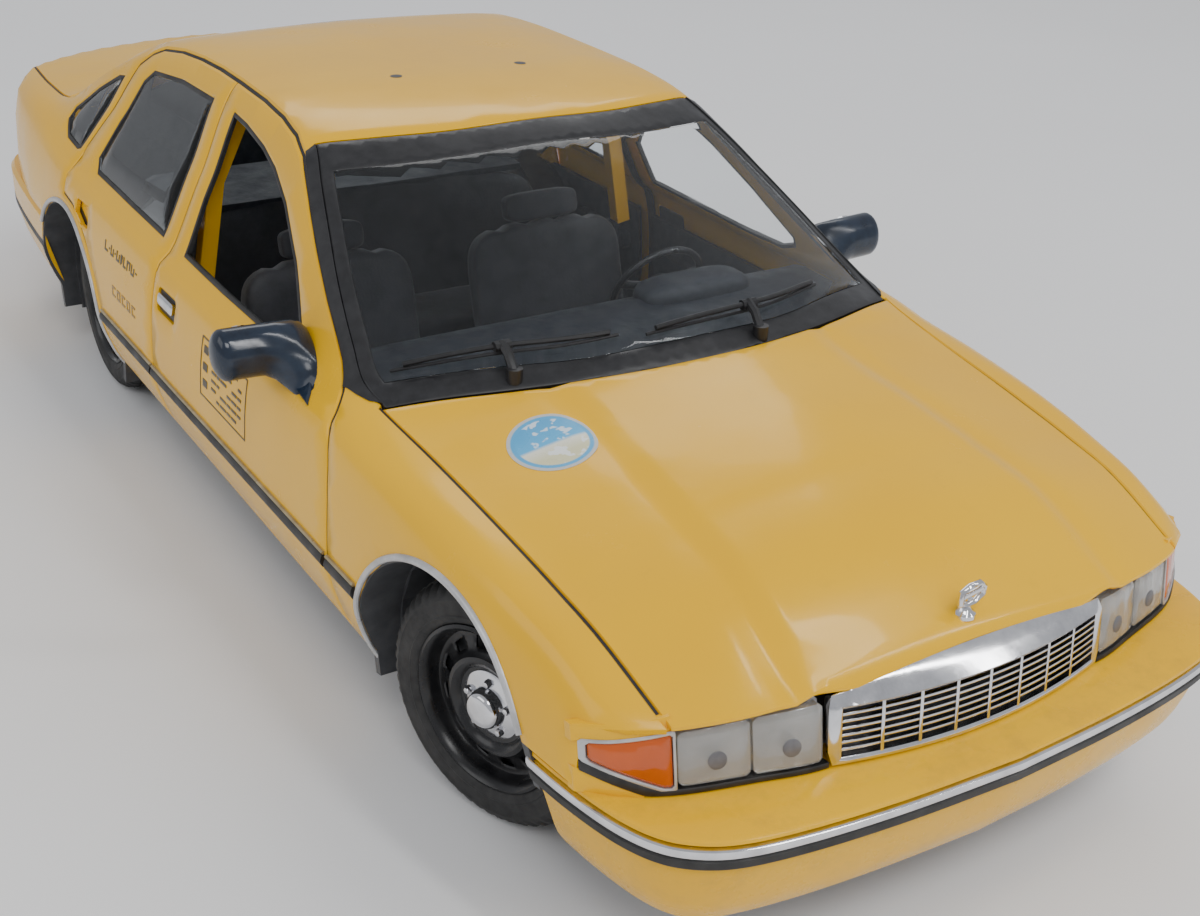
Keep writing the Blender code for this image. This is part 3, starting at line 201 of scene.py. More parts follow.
def top_v(x, y):
    """The v on the hood, roof or deck at a place (x, y)."""
    x, y = np.broadcast_arrays(np.asarray(x, float), np.asarray(y, float))
    low, high = np.full(y.shape, 7.0), np.full(y.shape, 9.0)
    for _ in range(26):
        mid = (low + high) / 2
        wide = body(y, mid)[..., 0] > np.abs(x)
        low = np.where(wide, mid, low)
        high = np.where(wide, high, mid)
    return np.where(x < 0, 18 - low, low)


def roof_x(u, v):
    """Half width of the body at (u, v)."""
    return float(body(u, v)[0])


# ---------------------------------------------------------------- outlines
def dense(points, step, closed=True):
    """The closed loop with points no further apart than step."""
    out = []
    count = len(points) if closed else len(points) - 1
    for i in range(count):
        a, b = points[i], points[(i + 1) % len(points)]
        n = max(1, ceil(hypot(b[0] - a[0], b[1] - a[1]) / step))
        for k in range(n):
            out.append((a[0] + (b[0] - a[0]) * k / n, a[1] + (b[1] - a[1]) * k / n))
    if not closed:
        out.append(tuple(points[-1]))
    return out


def area(loop):
    """Signed area of a closed loop."""
    return sum(a[0] * b[1] - b[0] * a[1] for a, b in zip(loop, loop[1:] + loop[:1])) / 2


def grow(loop, d):
    """The loop moved outward by d, inward for a negative d, corners mitred."""
    sign = 1 if area(loop) > 0 else -1
    out = []
    for i, p in enumerate(loop):
        a, b = loop[i - 1], loop[(i + 1) % len(loop)]
        e = Vector((p[0] - a[0], p[1] - a[1])).normalized()
        f = Vector((b[0] - p[0], b[1] - p[1])).normalized()
        n = Vector((e.y, -e.x)) + Vector((f.y, -f.x))
        k = d * sign * 2 / max(n.length_squared, 0.8)
        out.append((p[0] + n.x * k, p[1] + n.y * k))
    return out


def arc(centre, start, end, steps):
    """Points on a circle (y, z, radius), angles in degrees from +Y."""
    out = []
    for i in range(steps + 1):
        a = radians(start + (end - start) * i / steps)
        out.append((centre[0] + centre[2] * cos(a), centre[1] + centre[2] * sin(a)))
    return out


def to_uv(loop):
    """A side outline in (y, z) as (u, v) on the body."""
    v = side_v([p[0] for p in loop], [p[1] for p in loop])
    return [(p[0], float(a)) for p, a in zip(loop, v)]


# ---------------------------------------------------------------- mesh makers
def within(points, loops):
    """For each point, whether it lies in the first loop and outside the others."""
    p = np.asarray(points, float)
    hit = np.zeros(len(p), bool)
    for loop in loops:
        a = np.asarray(loop, float)
        b = np.roll(a, -1, axis=0)
        for (ax, ay), (bx, by) in zip(a, b):
            if ay == by:
                continue
            cross = ((ay > p[:, 1]) != (by > p[:, 1])) & (p[:,
                    0] < (bx - ax) * (p[:, 1] - ay) / (by - ay) + ax)
            hit ^= cross
    return hit


def clear_of(points, loops, reach):
    """Which points lie further than reach from every point of the loops."""
    p = np.asarray(points, float)
    ok = np.ones(len(p), bool)
    for loop in loops:
        for q in loop:
            ok &= (p[:, 0] - q[0]) ** 2 + (p[:, 1] - q[1]) ** 2 > reach * reach
    return ok


def piece(name, verts, faces, mat, body_name, stands_for=(), slot_name=None, smooth=True,
          angle=34.0):
    """A visual piece riding on a body, with one material."""
    mesh = bpy.data.meshes.new(name)
    mesh.from_pydata([(p[0] * MM, p[1] * MM, p[2] * MM) for p in verts], [], faces)
    mesh.validate()
    for p in mesh.polygons:
        p.use_smooth = smooth
    if smooth:
        mesh.set_sharp_from_angle(angle=radians(angle))
    mesh.materials.append(mat)
    obj = bpy.data.objects.new(name, mesh)
    bpy.context.scene.collection.objects.link(obj)
    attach(obj, body_name)
    if stands_for:
        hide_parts(*([stands_for] if isinstance(stands_for, str) else stands_for))
    return obj


def fix_normals(obj):
    """Turns the faces of a closed piece outward."""
    bm = bmesh.new()
    bm.from_mesh(obj.data)
    bmesh.ops.recalc_face_normals(bm, faces=bm.faces)
    bm.to_mesh(obj.data)
    bm.free()
    return obj


def join(parts):
    """Several solids as one list of points and faces."""
    verts, faces = [], []
    for v, f in parts:
        k = len(verts)
        verts += list(v)
        faces += [tuple(i + k for i in face) for face in f]
    return verts, faces


def sheet(surface, loops, thick, v_scale=10.0, grid=None, lift=0.0, roll=ROLL, rows=()):
    """Closed panel over the region of (u, v) between the first loop and the others, its rim rolled down."""
    grid = grid or GRID
    rims = [[(p[0], p[1] * v_scale) for p in loop] for loop in loops]
    if roll:
        insets = [grow(rim, -roll if i == 0 else roll) for i, rim in enumerate(rims)]
    else:
        insets = []
    points, edges, drop = [], [], []
    for group, low in ((rims, 1.0), (insets, 0.0)):
        for loop in group:
            start = len(points)
            points += loop
            drop += [low] * len(loop)
            edges += [(start + i, start + (i + 1) % len(loop)) for i in range(len(loop))]
    xs = [p[0] for p in rims[0]]
    ys = [p[1] for p in rims[0]]
    nx = max(1, round((max(xs) - min(xs)) / grid))
    ny = max(1, round((max(ys) - min(ys)) / grid))
    mesh_grid = [(min(xs) + (max(xs) - min(xs)) * (i + 0.5 * (j % 2)) / nx,
                  min(ys) + (max(ys) - min(ys)) * j / ny) for i in range(1, nx)
                 for j in range(1, ny)]
    if rows:
        mesh_grid = [p for p in mesh_grid if p[0] > max(rows) + 0.6]
        mesh_grid += [(u, y) for u in rows for y in span(min(ys), max(ys),
                round((max(ys) - min(ys)) / 0.8))]
    if mesh_grid:
        ok = within(mesh_grid, insets or rims)
        ok &= clear_of(mesh_grid, insets or rims, min(grid * 0.42, 0.5) if rows else grid * 0.42)
        for p, good in zip(mesh_grid, ok):
            if good:
                points.append(p)
                drop.append(0.0)
    verts, _, tris, origin, _, _ = delaunay_2d_cdt([Vector(p) for p in points], edges, [], 0, 1e-5)
    centres = [((verts[t[0]].x + verts[t[1]].x + verts[t[2]].x) / 3,
                (verts[t[0]].y + verts[t[1]].y + verts[t[2]].y) / 3) for t in tris]
    good = within(centres, rims)
    keep = [tuple(t) for t, g in zip(tris, good) if g]
    used = sorted({i for t in keep for i in t})
    index = {old: new for new, old in enumerate(used)}
    u = np.array([verts[i].x for i in used])
    v = np.array([verts[i].y / v_scale for i in used])
    down = np.array([max([drop[k] for k in origin[i]], default=0.0) for i in used])
    top = surface(u, v)
    n = normals(surface, u, v)
    outer = top + n * (lift - down * min(roll * 0.6, thick * 0.4))[:, None]
    inner = top + n * (lift - thick)
    k = len(used)
    faces = []
    count = set()
    for t in keep:
        a, b, c = (index[i] for i in t)
        faces.append((a, b, c))
        faces.append((c + k, b + k, a + k))
        count |= {(a, b), (b, c), (c, a)}
    for (a, b) in sorted(count):
        if (b, a) not in count:
            faces.append((a, a + k, b + k))
            faces.append((a, b + k, b))
    return [tuple(p) for p in np.concatenate([outer, inner])], faces


def mirrored(solid, side=-1):
    """A solid, reflected to the other side when side is negative."""
    verts, faces = solid
    if side > 0:
        return verts, faces
    return [(-p[0], p[1], p[2]) for p in verts], [tuple(reversed(f)) for f in faces]


def lathe(profile, sides, closed=True):
    """Profile (x, r) turned about X, outward normals for a profile that runs clockwise in (x, r)."""
    verts, faces = [], []
    for k in range(sides):
        a = 2 * pi * k / sides
        verts += [(x, r * cos(a), r * sin(a)) for x, r in profile]
    n = len(profile)
    for i in range(sides):
        for j in range(n if closed else n - 1):
            a, b = i * n + j, i * n + (j + 1) % n
            c, d = ((i + 1) % sides) * n + (j + 1) % n, ((i + 1) % sides) * n + j
            faces.append((a, b, c, d))
    return verts, faces


def moved(solid, matrix):
    """A solid carried by a matrix."""
    verts, faces = solid
    return [tuple(matrix @ Vector(p)) for p in verts], faces


def sweep(paths, closed_path=False):
    """Rings given one after another, joined to a closed tube."""
    n = len(paths[0])
    verts = [p for ring in paths for p in ring]
    faces = []
    count = len(paths) if closed_path else len(paths) - 1
    for i in range(count):
        for j in range(n):
            a, b = i * n + j, i * n + (j + 1) % n
            c, d = ((i + 1) % len(paths)) * n + (j + 1) % n, ((i + 1) % len(paths)) * n + j
            faces.append((a, b, c, d))
    if not closed_path:
        faces.append(tuple(reversed(range(n))))
        faces.append(tuple(range(len(verts) - n, len(verts))))
    return verts, faces


def grid_solid(rings, closed_ring=True, caps=True):
    """Rings of equal length joined in order; the first and last are capped."""
    n = len(rings[0])
    verts = [p for ring in rings for p in ring]
    faces = []
    for i in range(len(rings) - 1):
        for j in range(n if closed_ring else n - 1):
            a, b = i * n + j, i * n + (j + 1) % n
            faces.append((a, b, b + n, a + n))
    if caps:
        faces.append(tuple(reversed(range(n))))
        faces.append(tuple(range(len(verts) - n, len(verts))))
    return verts, faces


def block(lo, hi):
    """Box between two corners."""
    v = [(x, y, z) for x in (lo[0], hi[0]) for y in (lo[1], hi[1]) for z in (lo[2], hi[2])]
    f = [(0, 1, 3, 2), (4, 6, 7, 5), (0, 4, 5, 1), (2, 3, 7, 6), (0, 2, 6, 4), (1, 5, 7, 3)]
    return v, f


def prism(loop, lo, hi, axis="x"):
    """Outline extruded between lo and hi along an axis; the outline is (y, z), (x, z) or (x, y)."""
    def at(p, h):
        return {"x": (h, p[0], p[1]), "y": (p[0], h, p[1]), "z": (p[0], p[1], h)}[axis]
    return grid_solid([[at(p, lo) for p in loop], [at(p, hi) for p in loop]])


def rod(points, r, sides=6):
    """Tube of radius r through points, each ring square to its path."""
    rings = []
    pts = [Vector(p) for p in points]
    for i, p in enumerate(pts):
        d = (pts[min(i + 1, len(pts) - 1)] - pts[max(i - 1, 0)]).normalized()
        a = d.orthogonal().normalized()
        b = d.cross(a)
        if i:
            a = (last - d * last.dot(d)).normalized()
            b = d.cross(a)
        last = a
        rings.append([tuple(p + (a * cos(2 * pi * k / sides) + b * sin(2 * pi * k / sides)) * r)
                      for k in range(sides)])
    return grid_solid(rings)


# ---------------------------------------------------------------- shut lines
PILLAR = [(-57.4, 50.2), (-53.2, 53.0), (-43.3, 58.3), (-35.2, 63.1), (-27.3, 68.2), (-19.4, 73.0),
          (-14.2, 74.8), (-7.1, 75.9), (1.7, 76.5), (13.4, 76.8)]
DOOR_SPLIT = 14.5
ROOF_EDGE = [(23.5, 76.9), (32.5, 76.7), (41.8, 76.1), (50.0, 74.9), (54.0, 73.3), (58.2, 70.6),
             (61.3, 66.0), (64.5, 61.1), (67.6, 56.6), (70.3, 52.4), (70.9, 48.8)]
ARCH_RING = (ARCH_R[0], ARCH_R[1], ARCH_R[2] + 2.4)
DOOR_ARCH = arc(ARCH_RING, 89.0, 180.0 + 4.9, 7)

FENDER_EDGE = [(-63.4, SILL), (-63.5, 26.0), (-63.4, 36.8), (-62.7, 41.6), (-61.3, 45.6),
               (-59.5, 48.3)]
FRONT_DOOR = FENDER_EDGE + PILLAR + [(DOOR_SPLIT, 76.8), (DOOR_SPLIT, 48.0), (DOOR_SPLIT, SILL)]
REAR_DOOR = [(DOOR_SPLIT, SILL), (DOOR_SPLIT, 48.0), (DOOR_SPLIT, 76.8)] + ROOF_EDGE + DOOR_ARCH
BOTH_DOORS = FRONT_DOOR[:-3] + ROOF_EDGE + DOOR_ARCH

FRONT_WINDOW = [(9.8, 72.9), (9.8, 58.4), (9.0, 48.9), (-10.0, 48.6), (-34.0, 48.7), (-39.0, 50.6),
                (-39.6, 52.8), (-30.5, 60.0), (-20.5, 66.2), (-12.6, 69.5), (-5.8, 71.2),
                (3.5, 72.5)]
REAR_WINDOW_D = [(19.6, 72.9), (19.6, 60.0), (19.6, 49.0), (38.0, 49.2), (60.0, 49.6), (62.6, 52.0),
                 (59.0, 60.0), (53.6, 68.6), (50.0, 71.2), (36.0, 72.6)]
QUARTER = [(63.6, 67.4), (68.6, 58.8), (72.8, 51.4), (74.6, 50.8), (81.6, 51.4), (86.6, 54.0),
           (86.0, 56.4), (76.0, 62.4), (67.0, 66.8)]


def hood_rear(v):
    """Length at which the hood ends at v."""
    return -64.9 - 12.8 * (1 - (abs(roof_x(-70, v)) / 46.0) ** 2)


def screen_top(v):
    """Lengthwise place of the windshield opening's upper edge at v."""
    return -26.3 + 7.6 * (roof_x(-24, v) / 37.0) ** 2


def glass_top(v):
    """Upper edge of the windshield pane at v."""
    return screen_top(v) - 6.2


def glass_foot(v):
    """Lower edge of the windshield pane at v."""
    return -73.9 + 14.0 * (roof_x(-70, v) / 45.0) ** 2


def backlight_top(v):
    """Upper edge of the rear window at v."""
    return 51.0 + 6.0 * (roof_x(52, v) / 35.0) ** 2


def backlight_foot(v):
    """Lower edge of the rear window at v."""
    return 95.0 - 3.5 * (roof_x(92, v) / 42.0) ** 2


def span(a, b, n):
    """n + 1 even steps from a to b."""
    return [a + (b - a) * i / n for i in range(n + 1)]


def mirror_path(path):
    """Half an outline followed by its reflection across the centre line."""
    return path + [(u, 18 - v) for u, v in reversed(path) if v < 9 - 1e-6]


ALONG = 2 if GRID > 8 else 8
ACROSS = 4 if GRID > 8 else 16
PILLAR_U = span(-18.9, -64.3, 4 * ALONG)
HOOD_U = span(-64.7, NOSE_U, 3 * ALONG)
DECK_U = span(TRUNK_U + GAP, TAIL_U, 2 * ALONG)


def shell_loops():
    """Outline and openings of the painted shell as (u, v) loops."""
    pillar_v = 7.06
    half = [(screen_top(v), v) for v in span(9, pillar_v, ACROSS)]
    half += [(u, pillar_v) for u in PILLAR_U[1:]]
    hood_v = 7 - 0.07
    half += [(u, hood_v) for u in HOOD_U]
    foot = side_v(NOSE_U, SEAM_F)
    half += [(NOSE_U, v) for v in span(hood_v, foot, 4)[1:]]
    a = np.degrees(np.arcsin((SEAM_F - ARCH_F[1]) / ARCH_F[2]))
    b = np.degrees(np.arcsin((12.3 - ARCH_F[1]) / ARCH_F[2]))
    front_arch = arc(ARCH_F, 180 - a, b, 10)
    half += [(u, side_v(u, SEAM_F)) for u in span(NOSE_U, front_arch[0][0], ALONG)[1:-1]]
    half += to_uv(front_arch[:-1])
    c = 180 - np.degrees(np.arcsin((12.3 - ARCH_R[1]) / ARCH_R[2]))
    d = np.degrees(np.arcsin((SEAM_R - ARCH_R[1]) / ARCH_R[2]))
    rear_arch = arc(ARCH_R, c, d, 10)
    half += [(u, 0.0) for u in span(front_arch[-1][0], rear_arch[0][0], 4 * ALONG)]
    half += to_uv(rear_arch[1:])
    half += [(u, side_v(u, SEAM_R)) for u in span(rear_arch[-1][0], TAIL_U, 2 * ALONG)[1:]]
    half += [(TAIL_U, v) for v in span(side_v(TAIL_U, SEAM_R), hood_v, 4)[1:]]
    half += [(u, hood_v) for u in DECK_U[::-1][1:]]
    half += [(TRUNK_U - GAP, v) for v in span(hood_v, 9, ACROSS)]
    outer = mirror_path(half)
    back = [(backlight_top(v), v) for v in span(9, 7.16, ACROSS)]
    back += [(u, 7.16) for u in span(back[-1][0], backlight_foot(7.16), 2 * ALONG)[1:-1]]
    back += [(backlight_foot(v), v) for v in span(7.16, 9, ACROSS)]
    doors = to_uv(grow(dense(BOTH_DOORS, EDGE * 1.6), GAP))
    quarter = to_uv(dense(QUARTER, EDGE * 1.6))
    holes = [mirror_path(back), doors, quarter]
    holes += [[(u, 18 - v) for u, v in loop] for loop in (doors, quarter)]
    return [outer] + holes


def deck_skirt(u, v):
    """Body surface whose lid turns down past the tail edge."""
    u = np.asarray(u, float)
    over = np.clip(u - TAIL_U, 0, None)
    p = body(np.minimum(u, TAIL_U), v)
    return p + np.stack([0 * over, 0.55 * over * np.exp(-over), -over], -1)


NOSE_LIP = 1.4         # length of the hood skin folded down over the grille


def nose_skirt(u, v):
    """Hood surface whose front edge folds forward and down to the grille between the lamps."""
    u = np.asarray(u, float)
    over = np.clip(NOSE_U - u, 0, None)
    p = body(np.maximum(u, NOSE_U), v)
    middle = np.clip((25.5 - np.abs(p[..., 0])) / 8.0, 0, 1)
    middle = middle * middle * (3 - 2 * middle)
    share = over / NOSE_LIP
    forward = share * (0.12 + 1.05 * middle)
    return p + np.stack([0 * over, -forward, -share * (0.5 + 0.75 * middle)], -1)


def screen_ring():
    """Outer and inner outline of the windshield surround."""
    pillar_v = 7.06 + 0.018
    half = [(screen_top(v) - 0.3, v) for v in span(9, pillar_v, ACROSS)]
    half += [(u, pillar_v) for u in PILLAR_U[1:-1]]
    half += [(hood_rear(v) + GAP, v) for v in span(pillar_v, 9, ACROSS)]
    glass_v = 7.24
    inner = [(glass_top(v), v) for v in span(9, glass_v, ACROSS)]
    inner += [(u, glass_v) for u in span(inner[-1][0], glass_foot(glass_v), 3 * ALONG)[1:-1]]
    inner += [(glass_foot(v), v) for v in span(glass_v, 9, ACROSS)]
    return mirror_path(half), mirror_path(inner)


BUMPER_A = ((0, 51.9, -116.2), (1, 51.3, -122.0), (2, 50.4, -127.5), (3, 48.9, -133.4),
            (4, 46.2, -138.6), (5, 40.0, -142.9), (6, 30.0, -145.1), (7, 15.0, -146.6),
            (8, 0.0, -147.3))
BUMPER_B = ((0, 50.2, -116.2), (1, 49.9, -121.5), (2, 49.4, -126.3), (3, 46.0, -131.2),
            (4, 41.0, -134.9), (5, 34.5, -137.6), (6, 26.0, -140.0), (7, 13.0, -142.6),
            (8, 0.0, -143.4))
REAR_A = ((0, 54.6, 88.0), (1, 53.8, 103.0), (2, 52.8, 116.0), (3, 51.6, 126.5), (4, 49.6, 134.2),
          (5, 43.5, 140.5), (6, 32.0, 144.4), (7, 16.0, 146.9), (8, 0.0, 147.65))
REAR_B = ((0, 52.9, 88.0), (1, 52.2, 103.0), (2, 51.0, 116.0), (3, 49.0, 126.2), (4, 46.0, 131.6),
          (5, 39.5, 136.6), (6, 29.0, 139.7), (7, 15.0, 142.0), (8, 0.0, 142.8))


REAR_SECTION = (("a", -5.0, 13.6), ("a", -3.2, 16.0), ("a", -1.2, 20.0), ("a", -0.3, 24.0),
                ("a", 0.0, 27.5), ("a", 0.0, 32.4), ("a", -0.8, 33.4), ("b", 0.0, 33.4),
                ("b", 0.0, 32.2), ("a", -2.0, 31.4), ("a", -1.8, 24.0), ("a", -2.8, 20.0),
                ("a", -4.8, 16.0), ("a", -6.6, 13.6))


GRILLE_W = 22.3


def grille_surface(x, w):
    """w runs up the chrome face from 0 at the bumper to 10 at the hood edge."""
    x = np.asarray(x, float)
    w = np.asarray(w, float)
    bow = 1 - (x / (GRILLE_W + 1)) ** 2
    up = np.clip(w, 0, 8)
    over = np.clip(w - 8, 0, None)
    y = -137.9 - 3.3 * bow + 0.11 * up + over * (0.2 + 1.2 * bow)
    z = 28.5 + up * (0.98 + 0.03 * bow) + over * (0.55 + 0.45 * bow)
    return np.stack([x, y, z], -1)


def tail_surface(x, w):
    """Rear face: x across the car, w up from the bumper."""
    x, w = np.broadcast_arrays(np.asarray(x, float), np.asarray(w, float))
    y = curve(((0, 141.7), (15, 140.9), (30, 138.3), (40.5, 134.9), (45.0, 131.0),
               (47.6, 126.4)))(np.abs(x))
    return np.stack([-x, y - 0.03 * w, 34.0 + w], -1)


def mirror_ring(t, sides, sink):
    """Section of the door mirror at share t of the way from the door skin to its tip."""
    w = min(t / 0.4, 1.0)
    w = w * w * (3 - 2 * w)
    long = 6.6 - 2.7 * w
    short = 2.0 + 1.3 * w
    if t > 0.85:
        shrink = sqrt(max(1 - ((t - 0.85) / 0.155) ** 2, 0.02))
        long, short = long * shrink, short * shrink
    turn = radians(22 + 60 * w)
    a = 2 * pi * np.arange(sides) / sides
    y = -45.4 + 2.2 * w + 0.9 * t + long * np.cos(a) * cos(turn) - short * np.sin(a) * sin(turn)
    z = 49.7 + 2.5 * w + long * np.cos(a) * sin(turn) + short * np.sin(a) * cos(turn)
    x = body(y, side_v(y, z))[..., 0] + sink
    y = np.minimum(y, -36.5 - 3.5 * w)
    x = x + (50.6 + 11.68 * t - x) * w
    return [tuple(float(c) for c in p) for p in zip(x, y, z)]


# ---------------------------------------------------------------- materials
class Looks:
    """Small builder for a procedural Principled material."""

    def __init__(self, name, slot_name, rough, metal=0.0):
        self.mat = bpy.data.materials.new(name)
        self.mat.use_nodes = True
        self.mat["slot"] = slot_name
        self.tree = self.mat.node_tree
        self.shader = self.tree.nodes["Principled BSDF"]
        self.set("Roughness", rough)
        self.set("Metallic", metal)
        self.coords = self.tree.nodes.new("ShaderNodeTexCoord")

    def set(self, socket, value):
        self.shader.inputs[socket].default_value = value
        return self

    def link(self, a, b):
        self.tree.links.new(a, b)

    def noise(self, scale, detail=3.0, rough=0.55, stretch=None):
        node = self.tree.nodes.new("ShaderNodeTexNoise")
        node.inputs["Scale"].default_value = scale
        node.inputs["Detail"].default_value = detail
        node.inputs["Roughness"].default_value = rough
        source = self.coords.outputs["Object"]
        if stretch:
            mapping = self.tree.nodes.new("ShaderNodeMapping")
            mapping.inputs["Scale"].default_value = stretch
            self.link(source, mapping.inputs["Vector"])
            source = mapping.outputs["Vector"]
        self.link(source, node.inputs["Vector"])
        return node.outputs["Fac"]

    def ramp(self, fac, stops):
        node = self.tree.nodes.new("ShaderNodeValToRGB")
        ramp = node.color_ramp
        while len(ramp.elements) < len(stops):
            ramp.elements.new(0.5)
        for element, (place, colour) in zip(ramp.elements, stops):
            element.position = place
            element.color = (*colour, 1) if len(colour) == 3 else colour
        self.link(fac, node.inputs["Fac"])
        return node.outputs["Color"]

    def span(self, fac, low, high, out_low, out_high):
        node = self.tree.nodes.new("ShaderNodeMapRange")
        for socket, value in (("From Min", low), ("From Max", high), ("To Min", out_low),
                              ("To Max", out_high)):
            node.inputs[socket].default_value = value
        self.link(fac, node.inputs["Value"])
        return node.outputs["Result"]

    def mix(self, fac, a, b):
        node = self.tree.nodes.new("ShaderNodeMix")
        node.data_type = "RGBA"
        for socket, value in ((node.inputs[0], fac), (node.inputs[6], a), (node.inputs[7], b)):
            if isinstance(value, bpy.types.NodeSocket):
                self.link(value, socket)
            else:
                socket.default_value = value if isinstance(value, float) else (*value, 1)
        return node.outputs[2]

    def axis(self, name):
        node = self.tree.nodes.new("ShaderNodeSeparateXYZ")
        self.link(self.coords.outputs["Object"], node.inputs[0])
        return node.outputs[name]

    def colour(self, socket):
        self.link(socket, self.shader.inputs["Base Color"])
        return self

    def rough(self, socket):
        self.link(socket, self.shader.inputs["Roughness"])
        return self

    def bump(self, fac, strength, distance):
        node = self.tree.nodes.new("ShaderNodeBump")
        node.inputs["Strength"].default_value = strength
        node.inputs["Distance"].default_value = distance
        self.link(fac, node.inputs["Height"])
        self.link(node.outputs["Normal"], self.shader.inputs["Normal"])
        return self


def paint(name="cab_paint", dirty=0.0):
    """Yellow enamel; dirty adds dust."""
    look = Looks(name, "cab_yellow", 0.24)
    base = look.ramp(look.noise(28, 2), [(0.3, (0.86, 0.46, 0.0006)), (0.7, (0.91, 0.50, 0.0010))])
    dust = look.ramp(look.noise(160, 6, 0.7),
                     [(0.60 - dirty, (0, 0, 0)), (0.80 - dirty * 0.6, (1, 1, 1))])
    amount = look.span(dust, 0.0, 1.0, 0.0, 0.10 + dirty * 1.6)
    look.colour(look.mix(amount, base, (0.30, 0.17, 0.05)))
    look.rough(look.span(look.noise(90, 5, 0.65), 0.35, 0.75, 0.17, 0.30 + dirty))
    look.set("Coat Weight", 0.18).set("Coat Roughness", 0.05).set("Specular IOR Level", 0.26)
    look.bump(look.noise(420, 2, 0.4), 0.10, 0.00022)
    return look.mat


def plain(name, slot_name, dark, light, rough, metal=0.0, scale=500, bump=0.15, depth=0.0001,
          spread=0.12):
    """Moulded, cast or plated surface with fine mottling and uneven gloss."""
    look = Looks(name, slot_name, rough, metal)
    look.colour(look.ramp(look.noise(scale, 5, 0.6), [(0.3, dark), (0.72, light)]))
    look.rough(look.span(look.noise(scale * 0.35, 4), 0.3, 0.7, max(rough - spread, 0.03),
                         rough + spread))
    look.bump(look.noise(scale * 1.6, 3), bump, depth)
    return look


def pane(name, tint, dusty):
    """Transparent window plastic."""
    look = Looks(name, "smoke_glass", 0.03)
    look.set("Transmission Weight", 1.0).set("IOR", 1.3)
    look.colour(look.ramp(look.noise(60, 4), [(0.3, tint),
                                              (0.75, tuple(min(1, c * 1.05) for c in tint))]))
    look.rough(look.span(look.noise(240, 6, 0.7), 0.5, 0.8, 0.015, dusty))
    look.bump(look.noise(25, 2), 0.06, 0.0004)
    return look.mat


PAINT = paint()
PAINT_DIRTY = paint("cab_paint_grimy", 0.10)
BLACK = plain("satin_black", "satin_black", (0.009, 0.009, 0.010), (0.022, 0.022, 0.024), 0.38).mat
# Satin black rubber for strips, seals and hoses; the same material is painted shade in the shut-line gaps.
RUBBER_AND_GAP_SHADE = plain("strip_rubber_and_gap_shade", "satin_black", (0.010, 0.010, 0.010), (0.03, 0.028, 0.027), 0.5).mat
CHROME = plain("plated_chrome", "chrome", (0.62, 0.62, 0.64), (0.86, 0.86, 0.88), 0.13, 1.0,
               scale=260, bump=0.12, spread=0.07).mat
SILVER = plain("silver_line", "chrome", (0.42, 0.42, 0.42), (0.66, 0.66, 0.66), 0.38, 0.6,
               scale=300).mat
TAN = plain("strip_line", "chrome", (0.33, 0.27, 0.16), (0.55, 0.47, 0.30), 0.35, 0.5,
            scale=300).mat
NAVY = plain("mirror_shell", "mirror_navy", (0.006, 0.011, 0.022), (0.020, 0.034, 0.060), 0.17,
             scale=220).mat
RIM = plain("wheel_enamel", "rim_black", (0.006, 0.006, 0.007), (0.017, 0.017, 0.018), 0.24,
            scale=300).mat
CABIN = plain("cabin_plastic", "cabin_grey", (0.020, 0.023, 0.030), (0.045, 0.050, 0.060), 0.55,
              scale=700, bump=0.5).mat
UNDER = plain("base_plastic", "chassis_black", (0.018, 0.018, 0.019), (0.038, 0.038, 0.04), 0.58,
              scale=300, bump=0.4).mat
LINER = plain("arch_liner", "chassis_black", (0.045, 0.046, 0.050), (0.085, 0.087, 0.092), 0.5,
              scale=260, bump=0.3).mat
IRON = plain("engine_paint", "engine_grey", (0.08, 0.08, 0.085), (0.17, 0.17, 0.175), 0.45, 0.3,
             scale=500, bump=0.4).mat
MIRROR_GLASS = plain("mirror_face", "chrome", (0.80, 0.81, 0.83), (0.88, 0.89, 0.9), 0.06, 1.0,
                     scale=60, bump=0.02, spread=0.02).mat
SCREEN = pane("windshield_pane", (0.88, 0.91, 0.93), 0.10)
SIDE_GLASS = pane("side_pane", (0.80, 0.84, 0.86), 0.10)


def tyre_look():
    """Black tyre rubber."""
    look = plain("tyre_rubber", "tyre", (0.010, 0.010, 0.010), (0.030, 0.029, 0.028), 0.62,
                 scale=600, bump=0.4)
    return look.mat


def lens(name, slot_name, tint, clear, rough=0.16, flutes=0.0):
    """Lamp plastic."""
    look = Looks(name, slot_name, rough)
    look.colour(look.ramp(look.noise(140, 5), [(0.3, tuple(c * 0.86 for c in tint)), (0.72, tint)]))
    look.set("Transmission Weight", clear).set("IOR", 1.35).set("Coat Weight",
            0.8).set("Coat Roughness", 0.05)
    look.rough(look.span(look.noise(300, 4), 0.3, 0.7, rough * 0.7, rough * 1.6))
    if flutes:
        wave = look.tree.nodes.new("ShaderNodeTexWave")
        wave.bands_direction = "X"
        wave.inputs["Scale"].default_value = flutes
        look.link(look.coords.outputs["Object"], wave.inputs["Vector"])
        look.bump(wave.outputs["Fac"], 0.35, 0.0002)
    else:
        look.bump(look.noise(500, 3), 0.1, 0.0001)
    return look.mat


TYRE = tyre_look()
LENS = lens("lamp_lens", "clear_lens", (0.78, 0.78, 0.76), 0.72, 0.10, flutes=120)
AMBER = lens("signal_lens", "amber_lens", (0.80, 0.13, 0.004), 0.25, 0.12, flutes=160)
RED = lens("tail_lens", "red_lens", (0.55, 0.010, 0.008), 0.25, 0.14, flutes=220)
LAMP_DOT = plain("lamp_stud", "satin_black", (0.11, 0.11, 0.12), (0.17, 0.17, 0.18), 0.5).mat


